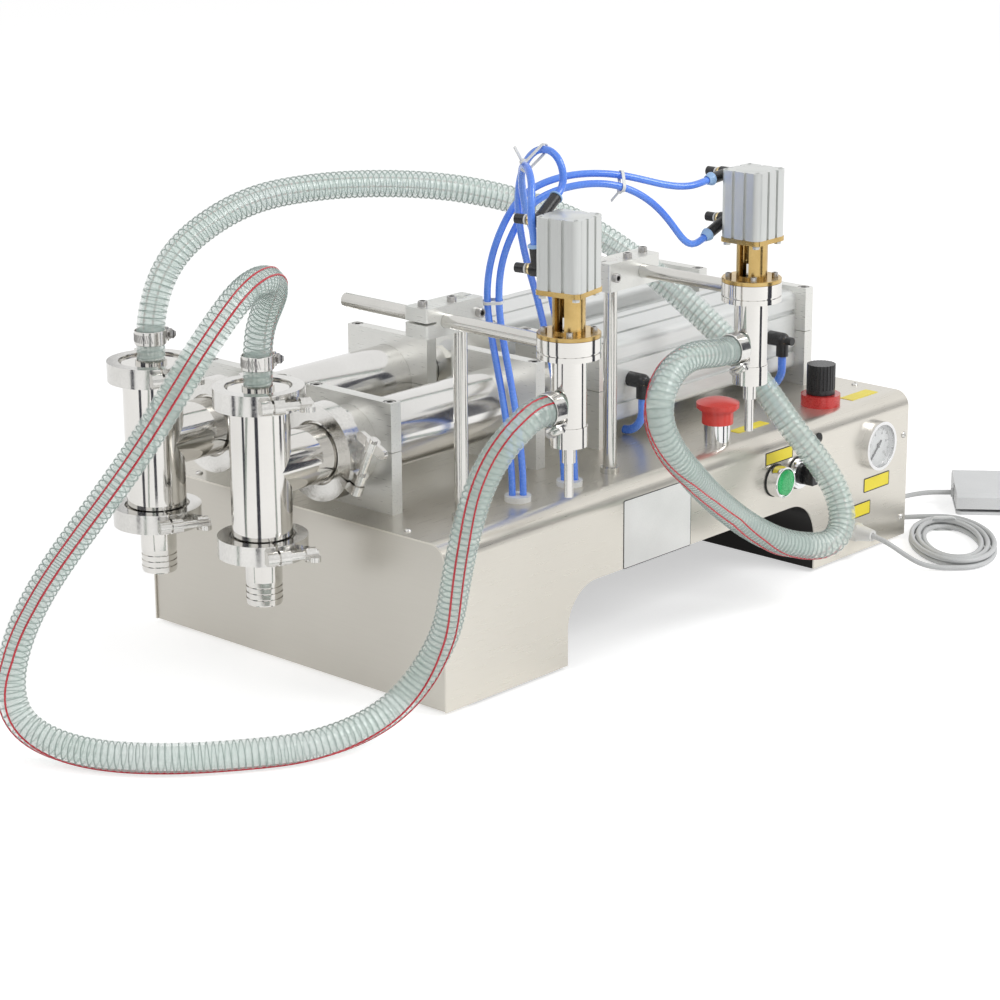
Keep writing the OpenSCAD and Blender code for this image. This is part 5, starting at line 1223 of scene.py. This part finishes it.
def flat_sheet(name, width, height, cuts):
    """A flat sheet in metres."""
    bm = bmesh.new()
    bmesh.ops.create_grid(bm, x_segments=cuts, y_segments=cuts, size=0.5)
    bmesh.ops.scale(bm, vec=(width, height, 1), verts=bm.verts)
    mesh = bpy.data.meshes.new(name)
    bm.to_mesh(mesh)
    bm.free()
    return add_object(name, mesh)


floor = flat_sheet("floor", 18.0, 18.0, 8)
floor.location.z = -0.0004
floor_white = bpy.data.materials.new("floor_white")
tree = empty_tree(floor_white)
rays = add_node(tree, "ShaderNodeLightPath")
seen = sum_of(tree, "MULTIPLY_ADD", rays.outputs["Is Glossy Ray"], GLOSSY_SHARE,
              rays.outputs["Is Camera Ray"])
seen = sum_of(tree, "MAXIMUM", seen, rays.outputs["Is Transmission Ray"])
glow = sum_of(tree, "MULTIPLY_ADD", seen, FLOOR_GLOW, FLOOR_LEAST)
lift = add_node(tree, "ShaderNodeEmission", {"Color": (1, 1, 1, 1), "Strength": glow})
matt = add_node(tree, "ShaderNodeBsdfDiffuse", {"Color": (0.80, 0.80, 0.80, 1)})
both = add_node(tree, "ShaderNodeAddShader")
tree.links.new(lift.outputs[0], both.inputs[0])
tree.links.new(matt.outputs[0], both.inputs[1])
add_node(tree, "ShaderNodeOutputMaterial", {"Surface": both.outputs[0]})
floor.data.materials.append(floor_white)
print("floor ready")

# %% [markdown]
# Around it the world is white where it is seen, straight or in a mirror, and about half as bright where
# it lights the machine. Polished steel is only as interesting as what it mirrors, so a few dark cards stand
# round it, some far and some near. The camera doesn't see them, and they throw no shadow, but they draw
# the dark streaks along the tubes and posts, as window frames and people do in a workshop.

# %% World and dark cards
WORLD_LIGHT = 0.52
world = bpy.data.worlds.new("studio")
bpy.context.scene.world = world
tree = empty_tree(world)
rays = add_node(tree, "ShaderNodeLightPath")
seen = sum_of(tree, "MAXIMUM", rays.outputs["Is Camera Ray"], rays.outputs["Is Glossy Ray"])
seen = sum_of(tree, "MAXIMUM", seen, rays.outputs["Is Transmission Ray"])
power = sum_of(tree, "MULTIPLY_ADD", seen, 1 - WORLD_LIGHT, WORLD_LIGHT)
sky = add_node(tree, "ShaderNodeBackground", {"Color": (1, 1, 1, 1), "Strength": power})
add_node(tree, "ShaderNodeOutputWorld", {"Surface": sky.outputs[0]})

card_dark = bpy.data.materials.new("card_dark")
tree = empty_tree(card_dark)
shade = add_node(tree, "ShaderNodeEmission", {"Color": (0.060, 0.062, 0.078, 1), "Strength": 1.0})
add_node(tree, "ShaderNodeOutputMaterial", {"Surface": shade.outputs[0]})


def dark_card(name, centre, look_at, width, height):
    """A dark panel that only mirrors see."""
    card = flat_sheet(name, width, height, 1)
    card.location = centre
    card.rotation_euler = (Vector(look_at) - Vector(centre)).to_track_quat("Z", "Y").to_euler()
    card.data.materials.append(card_dark)
    card.visible_camera = False
    card.visible_diffuse = False
    card.visible_shadow = False
    card.visible_transmission = False


MIDDLE = (0, 0, 0.3)
dark_card("card_left_end", (-3.2, 1.1, 0.5), (0, 0, 0.2), 1.6, 1.8)
dark_card("card_left_strip", (-2.9, -1.5, 0.7), MIDDLE, 0.42, 2.6)
dark_card("card_middle_strip", (-1.5, -2.9, 0.7), MIDDLE, 0.20, 2.6)
dark_card("card_front_strip", (-0.2, -3.1, 0.7), MIDDLE, 0.55, 2.6)
dark_card("card_right_strip", (2.4, -2.2, 0.7), MIDDLE, 0.9, 2.6)
dark_card("card_back", (1.4, 3.4, 1.0), MIDDLE, 1.2, 2.2)
dark_card("card_near_left", (-0.90, 0.153, 0.25), (-0.45, 0.09, 0.25), 0.08, 0.48)
dark_card("card_near_middle", (-0.79, -0.211, 0.25), (-0.45, 0.09, 0.25), 0.09, 0.48)
dark_card("card_near_right", (0.02, -0.56, 0.25), (-0.25, -0.22, 0.25), 0.13, 0.48)
print("world and cards ready")

# %% [markdown]
# Two large soft lamps finish the light: the stronger one from the front and above on the right, because
# the photograph's long front is bright and the short left end is in shade, and a weak one that opens the
# shadows. Together with the world they light a pale surface to about its own colour.

# %% Lamps
def soft_lamp(name, place, aim, size, watts):
    """A square area lamp that points at a place."""
    data = bpy.data.lights.new(name, "AREA")
    data.shape = "SQUARE"
    data.size = size
    data.energy = watts
    lamp = add_object(name, data)
    lamp.location = place
    lamp.rotation_euler = (Vector(aim) - Vector(place)).to_track_quat("-Z", "Y").to_euler()
    lamp.visible_camera = False


soft_lamp("key", (0.9, -2.6, 2.3), (0, 0, 0.15), 1.6, 52)
soft_lamp("fill", (-2.4, 0.2, 2.6), (0, 0, 0.2), 1.8, 14)
bpy.context.scene.view_settings.view_transform = "Standard"
print("lamps ready")

# %% The last update
bpy.context.view_layer.update()
